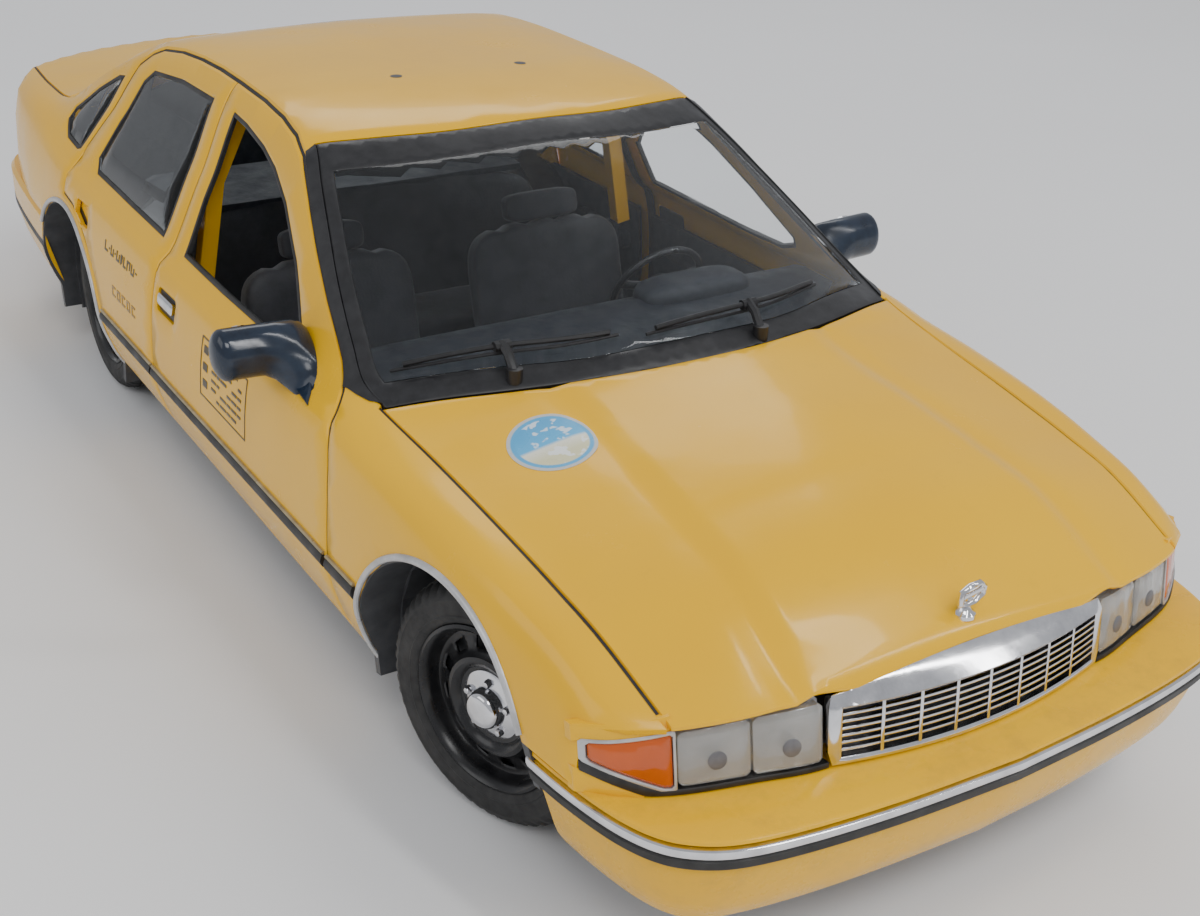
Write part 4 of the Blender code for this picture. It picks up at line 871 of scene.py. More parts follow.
def cloth():
    """Seat cloth."""
    look = Looks("seat_vinyl", "cabin_grey", 0.6)
    look.colour(look.ramp(look.noise(220, 6, 0.7),
                          [(0.3, (0.026, 0.028, 0.033)), (0.75, (0.060, 0.062, 0.070))]))
    look.rough(look.span(look.noise(120, 4), 0.3, 0.7, 0.45, 0.72))
    look.set("Sheen Weight", 0.25)
    look.bump(look.noise(1500, 3), 0.35, 0.0002)
    return look.mat


SEAT = cloth()


def badge_look():
    """Round printed badge: pale rim, blue sky over a cream ground with a dark bar; no marks or words."""
    look = Looks("hood_badge", "satin_black", 0.3)
    node = look.tree.nodes.new("ShaderNodeMapping")
    node.inputs["Location"].default_value = (30.2 * MM, 85.1 * MM, 0)
    look.link(look.coords.outputs["Object"], node.inputs["Vector"])
    flat = look.tree.nodes.new("ShaderNodeSeparateXYZ")
    look.link(node.outputs["Vector"], flat.inputs[0])
    both = look.tree.nodes.new("ShaderNodeCombineXYZ")
    look.link(flat.outputs["X"], both.inputs["X"])
    look.link(flat.outputs["Y"], both.inputs["Y"])
    length = look.tree.nodes.new("ShaderNodeVectorMath")
    length.operation = "LENGTH"
    look.link(both.outputs["Vector"], length.inputs[0])
    radius = look.span(length.outputs["Value"], 0.0, 6.2 * MM, 0.0, 1.0)
    picture = look.ramp(look.span(flat.outputs["Y"], -5 * MM, 5 * MM, 1.0, 0.0),
                        [(0.0, (0.05, 0.33, 0.62)), (0.50, (0.06, 0.40, 0.72)),
                         (0.56, (0.75, 0.74, 0.62)), (0.78, (0.62, 0.60, 0.36))])
    spots = look.ramp(look.noise(520, 2), [(0.56, (0, 0, 0)), (0.60, (1, 1, 1))])
    picture = look.mix(look.span(spots, 0.0, 1.0, 0.0, 0.75), picture, (0.80, 0.84, 0.86))
    rim = look.ramp(radius, [(0.0, (0, 0, 0)), (0.80, (0, 0, 0)), (0.83, (1, 1, 1))])
    border = look.ramp(radius, [(0.0, (0.05, 0.35, 0.65)), (0.90, (0.05, 0.35, 0.65)),
                                (0.93, (0.50, 0.50, 0.48))])
    look.colour(look.mix(look.span(rim, 0.0, 1.0, 0.0, 1.0), picture, border))
    look.rough(look.span(look.noise(200), 0.3, 0.7, 0.2, 0.4))
    return look.mat


BADGE = badge_look()
INK = plain("door_print", "satin_black", (0.045, 0.035, 0.02), (0.10, 0.075, 0.03), 0.4).mat
INK_FAINT = plain("door_print_worn", "satin_black", (0.22, 0.13, 0.03), (0.38, 0.22, 0.03),
                  0.35).mat


# ---------------------------------------------------------------- painted panels
def hood_surface(u, v):
    """Hood skin: the middle stands proud between two creases that run from the cowl to the grille corners."""
    p = nose_skirt(u, v)
    crease = 22.6 + 0.055 * np.clip(-83 - p[..., 1], 0, 60)
    rise = np.clip((crease + 0.9 - np.abs(p[..., 0])) / 1.8, 0, 1)
    rise = rise * rise * (3 - 2 * rise)
    height = (0.35 + 0.45 * np.clip((-75 - p[..., 1]) / 45, 0,
                                    1)) * np.clip((p[..., 1] + 137.5) / 9, 0.25, 1)
    height = height * np.clip((-64 - p[..., 1]) / 14, 0, 1)
    valley = np.exp(-((np.abs(p[..., 0]) - crease - 1.7) / 1.4) ** 2) * 0.35 * np.clip((-66 - p[...,
            1]) / 14, 0, 1)
    p = p.copy()
    p[..., 2] += rise * height - valley
    return p


def painted_panels():
    """Every yellow skin panel, each on its own body."""
    solid = sheet(body, shell_loops(), SKIN)
    piece("shell_skin", *solid, PAINT, "car", "body_shell")
    edge = 7 + 0.0125
    rear = [(hood_rear(v) - GAP, v) for v in span(edge, 18 - edge, 4 * ACROSS)]
    nose = NOSE_U - NOSE_LIP
    front = [(nose, v) for v in span(18 - edge, edge, 4 * ACROSS)]
    side_a = [(u, 18 - edge) for u in span(rear[-1][0], nose, 40)[1:-1]]
    side_b = [(u, edge) for u in span(nose, rear[0][0], 40)[1:-1]]
    solid = sheet(hood_surface, [rear + side_a + front + side_b], SKIN, v_scale=20, grid=1.5,
                  rows=[nose + 0.55, nose + 0.95, nose + 1.4, nose + 1.9, nose + 2.6])
    piece("hood_skin", *solid, PAINT, "hood", "hood")
    u0, u1 = TRUNK_U + GAP, TAIL_U + 3.0
    loop = [(u0, v) for v in span(18 - edge, edge, 4 * ACROSS)] + [(u, edge)
            for u in span(u0, u1, 24)[1:-1]]
    loop += [(u1, v) for v in span(edge, 18 - edge, 4 * ACROSS)] + [(u, 18 - edge)
            for u in span(u1, u0, 24)[1:-1]]
    solid = sheet(deck_skirt, [loop], SKIN, v_scale=20, grid=2.4)
    piece("trunk_skin", *solid, PAINT, "trunk_lid", "trunk_lid")
    for side, tag in ((1, "left"), (-1, "right")):
        handle_hole = to_uv(dense(rounded(2.9, 38.9, 12.0, 43.1, 0.8), 1.0))
        loops = [to_uv(grow(dense(FRONT_DOOR, EDGE), -GAP)), to_uv(dense(FRONT_WINDOW, EDGE)),
                 handle_hole]
        piece("door_front_skin_" + tag, *mirrored(sheet(body, loops, SKIN), side), PAINT,
              "front_door_" + tag, "door_front_" + tag)
        cup = to_uv(dense(rounded(53.6, 40.6, 61.8, 44.8, 0.8), 1.0))
        loops = [to_uv(grow(dense(REAR_DOOR, EDGE), -GAP)), to_uv(dense(REAR_WINDOW_D, EDGE)), cup]
        piece("door_rear_skin_" + tag, *mirrored(sheet(body, loops, SKIN), side), PAINT,
              "rear_door_" + tag, "door_rear_" + tag)
        handle_cups(tag, side)
    # Black discs on the roof over the two holes: painted shade standing for the dark inside each hole.
    dots = []
    for x in (12.2, -12.2):
        ring = [(x + 1.05 * cos(2 * pi * k / 24), 1.05 * sin(2 * pi * k / 24)) for k in range(24)]
        v = top_v([p[0] for p in ring], [p[1] for p in ring])
        dots.append(sheet(body, [[(p[1], float(a)) for p, a in zip(ring, v)]], 0.9, lift=0.03,
                          grid=9, roll=0))
    piece("roof_hole_painted_shade", *join(dots), BLACK, "car")


def rounded(y0, z0, y1, z1, r, steps=4):
    """Rectangle with rounded corners, as a closed loop."""
    out = []
    for cy, cz, a0 in ((y1 - r, z1 - r, 0), (y0 + r, z1 - r, 90), (y0 + r, z0 + r, 180),
                       (y1 - r, z0 + r, 270)):
        for i in range(steps + 1):
            a = radians(a0 + 90 * i / steps)
            out.append((cy + r * cos(a), cz + r * sin(a)))
    return out


def handle_cups(tag, side):
    """Front door: black recess with a plated grip. Rear door: the bare painted recess whose grip is gone."""
    front = "front_door_" + tag
    cup = sheet(body, [to_uv(dense(rounded(3.05, 39.05, 11.85, 42.95, 0.7), 1.0))], 0.5, lift=-0.55,
                grid=2, roll=0.2)
    piece("handle_cup_" + tag, *mirrored(cup, side), BLACK, front, "handle_" + tag)
    grip = sheet(body, [to_uv(dense(rounded(3.7, 40.3, 11.2, 42.3, 0.6), 0.8))], 0.8, lift=0.35,
                 grid=2, roll=0.4)
    piece("handle_grip_" + tag, *mirrored(grip, side), CHROME, front)
    rear = sheet(body, [to_uv(dense(rounded(53.2, 40.2, 62.2, 45.2, 0.8), 1.0))], 0.6, lift=-1.25,
                 grid=2, roll=0)
    piece("rear_cup_" + tag, *mirrored(rear, side), PAINT_DIRTY, "rear_door_" + tag)


def side_x(y, z):
    """Half width of the body at each (y, z)."""
    y, z = np.broadcast_arrays(np.asarray(y, float), np.asarray(z, float))
    flat_y, flat_z = y.ravel(), z.ravel()
    return body(flat_y, side_v(flat_y, flat_z))[..., 0].reshape(y.shape)


def side_strips():
    """Black rubbing strip with its bright upper line, cut at every shut line."""
    runs = (("fender", "car", -73.2, -64.0), ("front", "front_door_", -62.9, 14.1),
            ("rear", "rear_door_", 14.9, 44.8))
    for side, tag in ((1, "left"), (-1, "right")):
        for label, owner, y0, y1 in runs:
            name = owner + tag if owner.endswith("_") else owner
            for kind, low, high, out, mat in (("strip", 24.9, 27.0, 0.75, RUBBER_AND_GAP_SHADE),
                                              ("line", 27.0, 27.55, 0.55, TAN)):
                y, a = np.meshgrid(np.array(span(y0, y1, max(4, int((y1 - y0) / 3)))),
                                   2 * pi * np.arange(10) / 10, indexing="ij")
                z = (low + high) / 2 + 0.012 * np.maximum(0.0,
                        -y) + (high - low) / 2 * np.sin(a) * 0.98
                x = side_x(y, z) + np.where(np.cos(a) > -0.3, out,
                                            -0.15) * np.maximum(np.abs(np.cos(a)), 0.55)
                rings = np.stack([side * x, y, z], -1)
                solid = sweep([[tuple(q) for q in ring] for ring in rings])
                fix_normals(piece(f"side_{kind}_{label}_{tag}", *solid, mat, name))


def gap_shade_sheets():
    """Black sheets set back behind every shut line: painted shade in the gaps."""
    for side, tag in ((1, "left"), (-1, "right")):
        edge = dense(BOTH_DOORS, EDGE)
        # Wide black bands set deep behind the door, hood and deck gaps: painted shade.
        solids = [sheet(body, [to_uv(grow(edge, 1.3)), to_uv(grow(edge, -1.1))], 0.45, lift=-1.15,
                        roll=0)]
        post = dense([(13.3, SILL + 1), (15.7, SILL + 1), (15.7, 76.2), (13.3, 76.2)], EDGE)
        solids.append(sheet(body, [to_uv(post)], 0.45, lift=-1.15, roll=0))
        for low, high in ((HOOD_U[-1] + 1, HOOD_U[0]), (DECK_U[0], DECK_U[-1])):
            ribbon = [(u, 6.90) for u in span(low, high, 40)] + [(u, 7.09)
                    for u in span(high, low, 40)]
            solids.append(sheet(body, [ribbon], 0.45, v_scale=20, lift=-1.15, roll=0))
        # Narrow black sheets just under each panel edge: painted shade along the shut lines.
        line = [sheet(body, [to_uv(grow(edge, 0.19)), to_uv(grow(edge, -0.19))], 0.7, lift=-0.3,
                      grid=30, roll=0)]
        post = dense([(14.32, SILL + 1), (14.68, SILL + 1), (14.68, 76.2), (14.32, 76.2)], EDGE)
        line.append(sheet(body, [to_uv(post)], 0.7, lift=-0.3, grid=30, roll=0))
        for low, high in ((HOOD_U[-1] + 1, HOOD_U[0]), (DECK_U[0], DECK_U[-1])):
            ribbon = [(u, 6.938) for u in span(low, high, 40)] + [(u, 7.008)
                    for u in span(high, low, 40)]
            line.append(sheet(body, [ribbon], 0.7, v_scale=20, lift=-0.3, grid=30, roll=0))
        piece("gap_shade_line_" + tag, *mirrored(join(line), side), RUBBER_AND_GAP_SHADE, "car")
        piece("gap_shade_band_" + tag, *mirrored(join(solids), side), RUBBER_AND_GAP_SHADE, "car")
    # Black sheet under the trunk lid's front gap: painted shade.
    across = [(TRUNK_U - 1.2, v) for v in span(7.02, 10.98, 40)] + [(TRUNK_U + 1.4, v)
            for v in span(10.98, 7.02, 40)]
    piece("trunk_gap_shade", *sheet(body, [across], 0.45, v_scale=20, lift=-1.15, roll=0), RUBBER_AND_GAP_SHADE,
          "car")


def arch_liners():
    """Dark wells carried out from the base plate's arches to the skin."""
    for side, tag in ((1, "left"), (-1, "right")):
        for label, (cy, cz, r), first, last in (("front", ARCH_F, -14, 166),
                                                ("rear", ARCH_R, -18, 198)):
            a = np.radians(np.linspace(first, last, 91))
            rim_y, rim_z = cy + (r + 0.3) * np.cos(a), cz + (r + 0.3) * np.sin(a)
            out = side_x(rim_y, np.clip(rim_z, 15.6, 60)) - 0.3
            rings = []
            for angle, x1 in zip(a, out):
                ring = []
                for x, radius in ((46.0, r + 1.1), (x1, r + 1.1), (x1, r - 0.45), (46.0, r - 0.45)):
                    ring.append((side * x, cy + radius * cos(angle), cz + radius * sin(angle)))
                rings.append(ring)
            fix_normals(piece(f"arch_liner_{label}_{tag}", *sweep(rings), LINER, "car", angle=30))


def pillar_trims():
    """Black cover running up each windshield pillar from the fender tip to the roof."""
    for side, tag in ((1, "left"), (-1, "right")):
        low = to_uv(dense_path([(-57.0, 50.5)] + [(y, z + 0.45) for y, z in PILLAR[1:6]], 1.6))
        high = [(u, 7.079) for u in span(-19.2, -64.4, 36)]
        solid = sheet(body, [low + high], 0.5, v_scale=20, lift=0.16, grid=1.6, roll=0.1)
        piece("pillar_trim_" + tag, *mirrored(solid, side), BLACK, "car")


def dense_path(points, step):
    """An open path with its long spans divided."""
    out = []
    for (x0, y0), (x1, y1) in zip(points, points[1:]):
        n = max(1, ceil(hypot(x1 - x0, y1 - y0) / step))
        out += [(x0 + (x1 - x0) * i / n, y0 + (y1 - y0) * i / n) for i in range(n)]
    return out + [points[-1]]


def arch_lips():
    """Bright lip round each wheel arch."""
    for side, tag in ((1, "left"), (-1, "right")):
        for label, (cy, cz, r), start, end in (("front", ARCH_F, 149, -10),
                                               ("rear", ARCH_R, 190, 38)):
            a = np.radians(np.linspace(start, end, 61))
            lines = []
            for radius in (r + 0.75, r - 0.15):
                y, z = cy + radius * np.cos(a), cz + radius * np.sin(a)
                lines.append(np.stack([side_x(y, z), y, z], -1))
            rings = []
            for p, q in zip(*lines):
                across = Vector(q - p).normalized()
                mid = Vector((p + q) / 2)
                ring = []
                for k in range(10):
                    b = 2 * pi * k / 10
                    c = mid + across * (0.52 * cos(b)) + Vector((1, 0, 0)) * (0.05 + 0.42 * sin(b))
                    ring.append((side * c.x, c.y, c.z))
                rings.append(ring)
            fix_normals(piece(f"arch_lip_{label}_{tag}", *sweep(rings), SILVER, "car"))


# ---------------------------------------------------------------- glass and screen
def glazing():
    """Windshield, rear window, side panes and their seals."""
    outer, inner = screen_ring()
    fine = lambda loop: dense_uv(loop, 1.0)
    band = sheet(body, [fine(outer), fine(inner)], 0.9, v_scale=20, lift=-0.08, grid=1.1, roll=0.25)
    piece("screen_band", *band, BLACK, "car", "windshield_surround", angle=50)
    pane_loop = shrink_uv(fine(inner), 0.03)
    piece("screen_pane", *sheet(body, [pane_loop], 0.7, v_scale=20, lift=-0.14, grid=2, roll=0.04),
          SCREEN, "car", "windshield")
    back = [(backlight_top(v), v) for v in span(9, 7.16, ACROSS)]
    back += [(u, 7.16) for u in span(back[-1][0], backlight_foot(7.16), 2 * ALONG)[1:-1]]
    back += [(backlight_foot(v), v) for v in span(7.16, 9, ACROSS)]
    back = fine(mirror_path(back))
    band = [shrink_uv(back, 0.2), shrink_uv(back, 2.2)]
    piece("backlight_band", *sheet(body, band, 0.8, v_scale=20, lift=-0.08), BLACK, "car")
    piece("backlight_pane", *sheet(body, [shrink_uv(back, 2.23)], 0.7, v_scale=20, lift=-0.14,
                                   grid=2, roll=0.04), SIDE_GLASS, "car", "rear_window")
    for side, tag in ((1, "left"), (-1, "right")):
        for label, loop, owner, node in (("rear", REAR_WINDOW_D, "rear_door_" + tag,
                                          "pane_rear_" + tag),
                                         ("quarter", QUARTER, "car", "quarter_glass_" + tag)):
            rim = dense(loop, 1.2)
            ring = sheet(body, [to_uv(grow(rim, -0.06)), to_uv(grow(rim, -0.75))], 0.7, lift=-0.12,
                         roll=0.15)
            piece(f"seal_{label}_{tag}", *mirrored(ring, side), RUBBER_AND_GAP_SHADE, owner)
            glass = sheet(body, [to_uv(grow(rim, -0.8))], 0.6, lift=-0.2, grid=4, roll=0.15)
            piece(f"glass_{label}_{tag}", *mirrored(glass, side), SIDE_GLASS, owner, node)
        rim = dense(FRONT_WINDOW, 1.2)
        ring = sheet(body, [to_uv(grow(rim, -0.05)), to_uv(grow(rim, -0.7))], 0.8, lift=-0.1,
                     roll=0.2)
        piece("seal_front_" + tag, *mirrored(ring, side), RUBBER_AND_GAP_SHADE, "front_door_" + tag)


def dense_uv(loop, step, v_scale=20.0):
    """The (u, v) loop with points no further apart than step."""
    flat = dense([(u, v * v_scale) for u, v in loop], step)
    return [(u, v / v_scale) for u, v in flat]


def shrink_uv(loop, d, v_scale=20.0):
    """The (u, v) loop drawn in by a distance."""
    flat = [(u, v * v_scale) for u, v in loop]
    return [(u, v / v_scale) for u, v in grow(flat, -d)]


def screen_point(x, forward, rise):
    """Point over the windshield, measured forward and up from its foot at x."""
    v = float(top_v(x, -66.0))
    u = glass_foot(v) + forward
    p = body(u, v)
    return Vector((float(p[0]), float(p[1]), float(p[2]) + rise))


def wipers():
    """Two wipers with arm, blade and spindle."""
    for tag, x_mid, x_lo, x_hi in (("right", -28.0, -42.0, -11.0), ("left", 12.5, -7.0, 30.0)):
        rubber = [screen_point(x, 1.4 + 0.9 * (x - x_lo) / (x_hi - x_lo), 0.45)
                  for x in span(x_lo, x_hi, 16)]
        spine = [screen_point(x, 1.3 + 0.9 * (x - x_lo) / (x_hi - x_lo),
                              1.15 + 0.5 * sin(pi * (x - x_lo) / (x_hi - x_lo)))
                 for x in span(x_lo + 1.5, x_hi - 1.5, 16)]
        parts = [rod(rubber, 0.28, 8), rod(spine, 0.42, 8)]
        m = screen_point(x_mid, 1.6, 1.5)
        f = screen_point(x_mid - 0.4, -2.4, 0.9)
        parts.append(rod([f, f + (m - f) * 0.5 + Vector((0, 0, 0.8)), m + Vector((0, 0.3, 0.5))],
                         0.75, 8))
        parts.append(rod([m + Vector((-1.3, 0.1, 0.2)), m + Vector((1.3, 0.1, 0.2))], 0.8, 8))
        parts.append(rod([f - Vector((0, 0, 1.6)), f + Vector((0, 0, 0.7))], 1.2, 14))
        fix_normals(piece("wiper_detail_" + tag, *join(parts), BLACK, "car", "wiper_" + tag,
                          angle=40))


# ---------------------------------------------------------------- nose
def swept_bumper(name, table_a, table_b, section, arch, mat, node, steps=90):
    """Section swept round a bumper plan between the wheel arches."""
    lines = {"a": (curve(table_a, 1), curve(table_a, 2)),
             "b": (curve(table_b, 1), curve(table_b, 2))}
    sign = -1 if table_a[0][2] < 0 else 1
    rings = [[] for _ in range(2 * steps + 1)]
    for line, offset, z in section:
        fx, fy = lines[line]
        reach = sqrt(max(arch[2] ** 2 - (z - arch[1]) ** 2, 0))
        y_end = abs(arch[0] + reach * sign) + 0.15
        t_grid = np.linspace(0, 4, 2001)
        low = float(t_grid[np.searchsorted(np.abs(fy(t_grid)), y_end)])
        for k in range(-steps, steps + 1):
            t = 8 - (8 - low) * (abs(k) / steps) ** 0.85
            dx = float(fx(min(t + 0.05, 8)) - fx(max(t - 0.05, 0)))
            dy = float(fy(min(t + 0.05, 8)) - fy(max(t - 0.05, 0)))
            n = Vector((abs(dy), sign * abs(dx))).normalized() if t < 7.97 else Vector((0, sign))
            x = float(fx(t)) + n.x * offset
            rings[k + steps].append((x * (1 if k > 0 else -1) if k else 0.0,
                                     float(fy(t)) + n.y * offset, z))
    solid = sweep(rings)
    return fix_normals(piece(name, *solid, mat, "car", node, angle=30))


def smooth_section(points, per=3):
    """The section with its long spans divided along a smooth curve."""
    out = []
    for a, b in zip(points, points[1:] + points[:1]):
        count = per if a[0] == b[0] and hypot(a[1] - b[1], a[2] - b[2]) > 1.5 else 1
        for i in range(count):
            out.append((a[0], a[1] + (b[1] - a[1]) * i / count, a[2] + (b[2] - a[2]) * i / count))
    return out


SHELF_BACK = ((0, 48.6, -116.2), (1, 48.2, -121.0), (2, 46.8, -124.0), (3, 43.0, -126.5),
              (4, 38.0, -128.5), (5, 32.0, -130.5), (6, 24.0, -133.0), (7, 12.5, -136.2),
              (8, 0.0, -137.0))
FRONT_SKIN = [("a", -5.9, 12.3), ("a", -5.0, 12.6), ("a", -4.0, 14.2), ("a", -3.5, 15.1),
              ("a", -2.9, 16.6), ("a", -2.2, 19.0), ("a", -1.5, 21.8), ("a", -1.15, 23.4),
              ("a", -1.2, 24.0), ("a", -1.4, 27.0), ("a", -0.55, 27.15), ("a", -0.25, 27.4),
              ("a", -0.35, 27.8), ("a", -0.9, 28.05), ("b", 0.0, 28.15), ("b", 0.0, 27.2),
              ("a", -2.6, 26.0), ("a", -2.6, 23.4), ("a", -3.4, 19.5), ("a", -5.0, 15.0),
              ("a", -7.0, 12.3)]
STRIP_SKIN = [("a", -1.1, 23.95), ("a", -0.2, 24.0), ("a", 0.1, 24.3), ("a", 0.15, 25.3),
              ("a", -0.3, 25.6), ("a", -1.1, 25.6)]
BRIGHT_SKIN = [("a", -1.1, 25.65), ("a", -0.1, 25.65), ("a", 0.2, 25.85), ("a", 0.3, 26.3),
               ("a", 0.15, 26.8), ("a", -0.15, 26.95), ("a", -1.1, 26.95)]
REAR_STRIP = [("a", -1.2, 24.6), ("a", -0.15, 24.7), ("a", -0.02, 25.1), ("a", -0.02, 26.4),
              ("a", -0.2, 26.9), ("a", -1.2, 26.9)]


def bumpers():
    """Bumper covers with their black and bright strips."""
    swept_bumper("front_bumper_skin", BUMPER_A, SHELF_BACK, FRONT_SKIN, ARCH_F, PAINT_DIRTY,
                 "front_bumper")
    swept_bumper("front_strip", BUMPER_A, BUMPER_B, STRIP_SKIN, ARCH_F, RUBBER_AND_GAP_SHADE, "front_trim")
    swept_bumper("front_bright", BUMPER_A, BUMPER_B, BRIGHT_SKIN, ARCH_F, CHROME, ())
    swept_bumper("rear_bumper_skin", REAR_A, REAR_B, smooth_section(list(REAR_SECTION), 2), ARCH_R,
                 PAINT, "rear_bumper")
    swept_bumper("rear_strip", REAR_A, REAR_B, REAR_STRIP, ARCH_R, RUBBER_AND_GAP_SHADE, ())


def grille_detail():
    """Bright frame, bars and dark backing of the grille."""
    frame_loop = [(x, 0.0) for x in span(-GRILLE_W, GRILLE_W, 60)] + [(GRILLE_W + 0.6, w)
            for w in (2.0, 4.0, 6.0, 8.0)]
    frame_loop += [(x, 10.3 + 0.3 * (1 - (x / 23) ** 2))
                   for x in span(GRILLE_W, -GRILLE_W, 60)] + [(-GRILLE_W - 0.6, w)
            for w in (8.0, 6.0, 4.0, 2.0)]
    inner = [(x, 0.95) for x in span(-GRILLE_W + 1.1, GRILLE_W - 1.1, 60)] + [(GRILLE_W - 1.1, 3.5),
            (GRILLE_W - 1.1, 5.5)]
    inner += [(x, 7.6) for x in span(GRILLE_W - 1.1, -GRILLE_W + 1.1, 60)] + [(-GRILLE_W + 1.1,
            5.5), (-GRILLE_W + 1.1, 3.5)]
    solid = sheet(grille_surface, [frame_loop, inner], 1.6, v_scale=1.0, grid=1.5, roll=0.35)
    piece("grille_frame", *solid, CHROME, "car", "grille")
    bars = []
    for i in range(1, 8):
        x = -GRILLE_W + 1.1 + (2 * GRILLE_W - 2.2) * i / 8
        loop = [(x - 0.22, 0.8), (x + 0.22, 0.8), (x + 0.22, 7.8), (x - 0.22, 7.8)]
        bars.append(sheet(grille_surface, [loop], 1.6, v_scale=1.0, grid=3, lift=-0.1, roll=0.1))
    rows = 7
    for j in range(1, rows):
        w = 0.95 + 6.65 * j / rows
        loop = [(x, w - 0.18) for x in span(-GRILLE_W + 0.9, GRILLE_W - 0.9, 40)]
        loop += [(x, w + 0.18) for x in span(GRILLE_W - 0.9, -GRILLE_W + 0.9, 40)]
        bars.append(sheet(grille_surface, [loop], 1.4, v_scale=1.0, grid=3, lift=-0.35, roll=0.08))
    piece("grille_bars", *join(bars), CHROME, "car")
    dark = [(x, 0.4) for x in span(-GRILLE_W + 0.5, GRILLE_W - 0.5, 20)] + [(x, 8.0)
            for x in span(GRILLE_W - 0.5, -GRILLE_W + 0.5, 20)]
    piece("grille_back", *sheet(grille_surface, [dark], 0.3, v_scale=1.0, grid=4, lift=-1.75,
                                roll=0), BLACK, "car")


def lamp_surface(x, z):
    """Front face of the lamps over (x, z), wrapping back round the corner."""
    x = np.asarray(x, float)
    z = np.asarray(z, float)
    face = curve(((0, -138.0), (23.4, -137.0), (32, -135.0), (41.4, -132.3), (47.5, -128.8),
                  (50.6, -125.6)))
    return np.stack([x, face(np.abs(x)) + 0.16 * (z - 33), z], -1)


def lamp_loop(x0, x1, low, high, step=1.0, corner=0.5):
    """Outline of a lamp between two heights."""
    pts = [(x0, low(x0) + corner), (x0 + corner, low(x0))]
    pts += [(x, low(x)) for x in span(x0 + corner, x1 - corner, 12)[1:]]
    pts += [(x1, low(x1) + corner), (x1, high(x1) - corner)]
    pts += [(x, high(x)) for x in span(x1 - corner, x0 + corner, 12)]
    pts += [(x0, high(x0) - corner)]
    return dense(pts, step)


def lamps():
    """Headlamp lenses, turn lamps, bezels and the black gutter under them."""
    low = lambda x: 29.2
    high = lambda x: 36.9 - 0.05 * (x - 23)
    sig_low = lambda x: 29.2 + 0.42 * max(0.0, x - 42.5)
    sig_high = lambda x: 36.0 - 0.20 * (x - 41.4)
    for side, tag in ((1, "left"), (-1, "right")):
        cells = []
        for x0, x1 in ((23.3, 32.0), (32.35, 40.9)):
            cells.append(sheet(lamp_surface, [lamp_loop(x0, x1, low, high)], 1.6, v_scale=1.0,
                               grid=1.5, roll=0.45))
        piece("headlight_lens_" + tag, *mirrored(join(cells), side), LENS, "car",
              "headlight_" + tag)
        back = sheet(lamp_surface, [lamp_loop(23.1, 41.0, lambda x: 28.9,
                                              lambda x: 37.2 - 0.05 * (x - 23))], 0.8, v_scale=1.0,
                     grid=3, lift=-1.7, roll=0)
        piece("headlight_back_" + tag, *mirrored(back, side), SILVER, "car")
        studs = []
        for x in (27.4, 36.4):
            ring = [(x + 1.15 * cos(2 * pi * k / 24), 32.0 + 1.15 * sin(2 * pi * k / 24))
                    for k in range(24)]
            studs.append(sheet(lamp_surface, [ring], 0.5, v_scale=1.0, grid=3, lift=0.12,
                               roll=0.15))
        piece("headlight_studs_" + tag, *mirrored(join(studs), side), LAMP_DOT, "car")
        amber = sheet(lamp_surface, [lamp_loop(41.5, 49.6, sig_low, sig_high, corner=0.3)], 1.2,
                      v_scale=1.0, grid=1.5, roll=0.45)
        piece("signal_lens_" + tag, *mirrored(amber, side), AMBER, "car", "signal_" + tag)
        rim = lamp_loop(41.1, 50.3, lambda x: sig_low(x) - 0.55, lambda x: sig_high(x) + 0.5,
                        corner=0.3)
        hole = lamp_loop(41.45, 49.65, sig_low, sig_high, corner=0.3)
        bezel = sheet(lamp_surface, [rim, grow(hole, 0.05)], 1.5, v_scale=1.0, grid=3, lift=0.1,
                      roll=0.12)
        piece("signal_bezel_" + tag, *mirrored(bezel, side), SILVER, "car")
        lower = lambda x: max(28.3, sig_low(x) - 1.75)
        strip = [(x, lower(x)) for x in span(22.6, 50.3, 30)] + [(x, max(29.0, sig_low(x) - 0.5))
                for x in span(50.3, 22.6, 30)]
        gutter = sheet(lamp_surface, [dense(strip, 1.2)], 2.5, v_scale=1.0, grid=3, lift=0.15,
                       roll=0.15)
        piece("lamp_gutter_" + tag, *mirrored(gutter, side), RUBBER_AND_GAP_SHADE, "car")
        below = [(x, 27.9) for x in span(44.6, 50.9, 6)] + [(x, lower(x) + 0.1)
                for x in span(50.9, 44.6, 12)]
        above = [(x, sig_high(x) + 0.3) for x in span(41.6, 50.9, 10)] + [(x, sig_high(x) + 2.4)
                for x in span(50.9, 41.6, 10)]
        fill = [sheet(lamp_surface, [dense(loop, 1.2)], 1.4, v_scale=1.0, grid=2, lift=-0.05,
                      roll=0.1) for loop in (below, above)]
        piece("lamp_corner_" + tag, *mirrored(join(fill), side), PAINT, "car")
    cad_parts["header_panel"].data.materials[0] = BLACK


def ornament():
    """Open ring badge on a turned foot at the nose of the hood."""
    base = lathe([(0.0, 0.01), (0.0, 1.5), (0.5, 1.45), (0.9, 0.9), (1.6, 0.55), (2.8, 0.5),
                  (2.8, 0.01)], 24, closed=False)
    spin = Matrix.Translation((0, -134.3, 40.7)) @ Matrix.Rotation(radians(-90), 4, "Y")
    parts = [moved(base, spin)]
    outline = [(-1.7, 43.1), (-0.9, 42.8), (0.6, 42.9), (1.8, 43.7), (1.9, 44.8), (1.1, 45.5),
               (-0.5, 45.4), (-1.7, 44.8)]
    ring = rod([(x, -135.1, z) for x, z in outline + outline[:1]], 0.42, 8)
    bar = rod([(-1.9, -135.1, 44.0), (1.6, -135.1, 44.6)], 0.38, 8)
    stem = rod([(0, -134.4, 42.8), (0, -135.0, 43.4)], 0.45, 8)
    parts += [ring, bar, stem]
    fix_normals(piece("ornament_emblem", *join(parts), CHROME, "hood", "hood_ornament", angle=45))


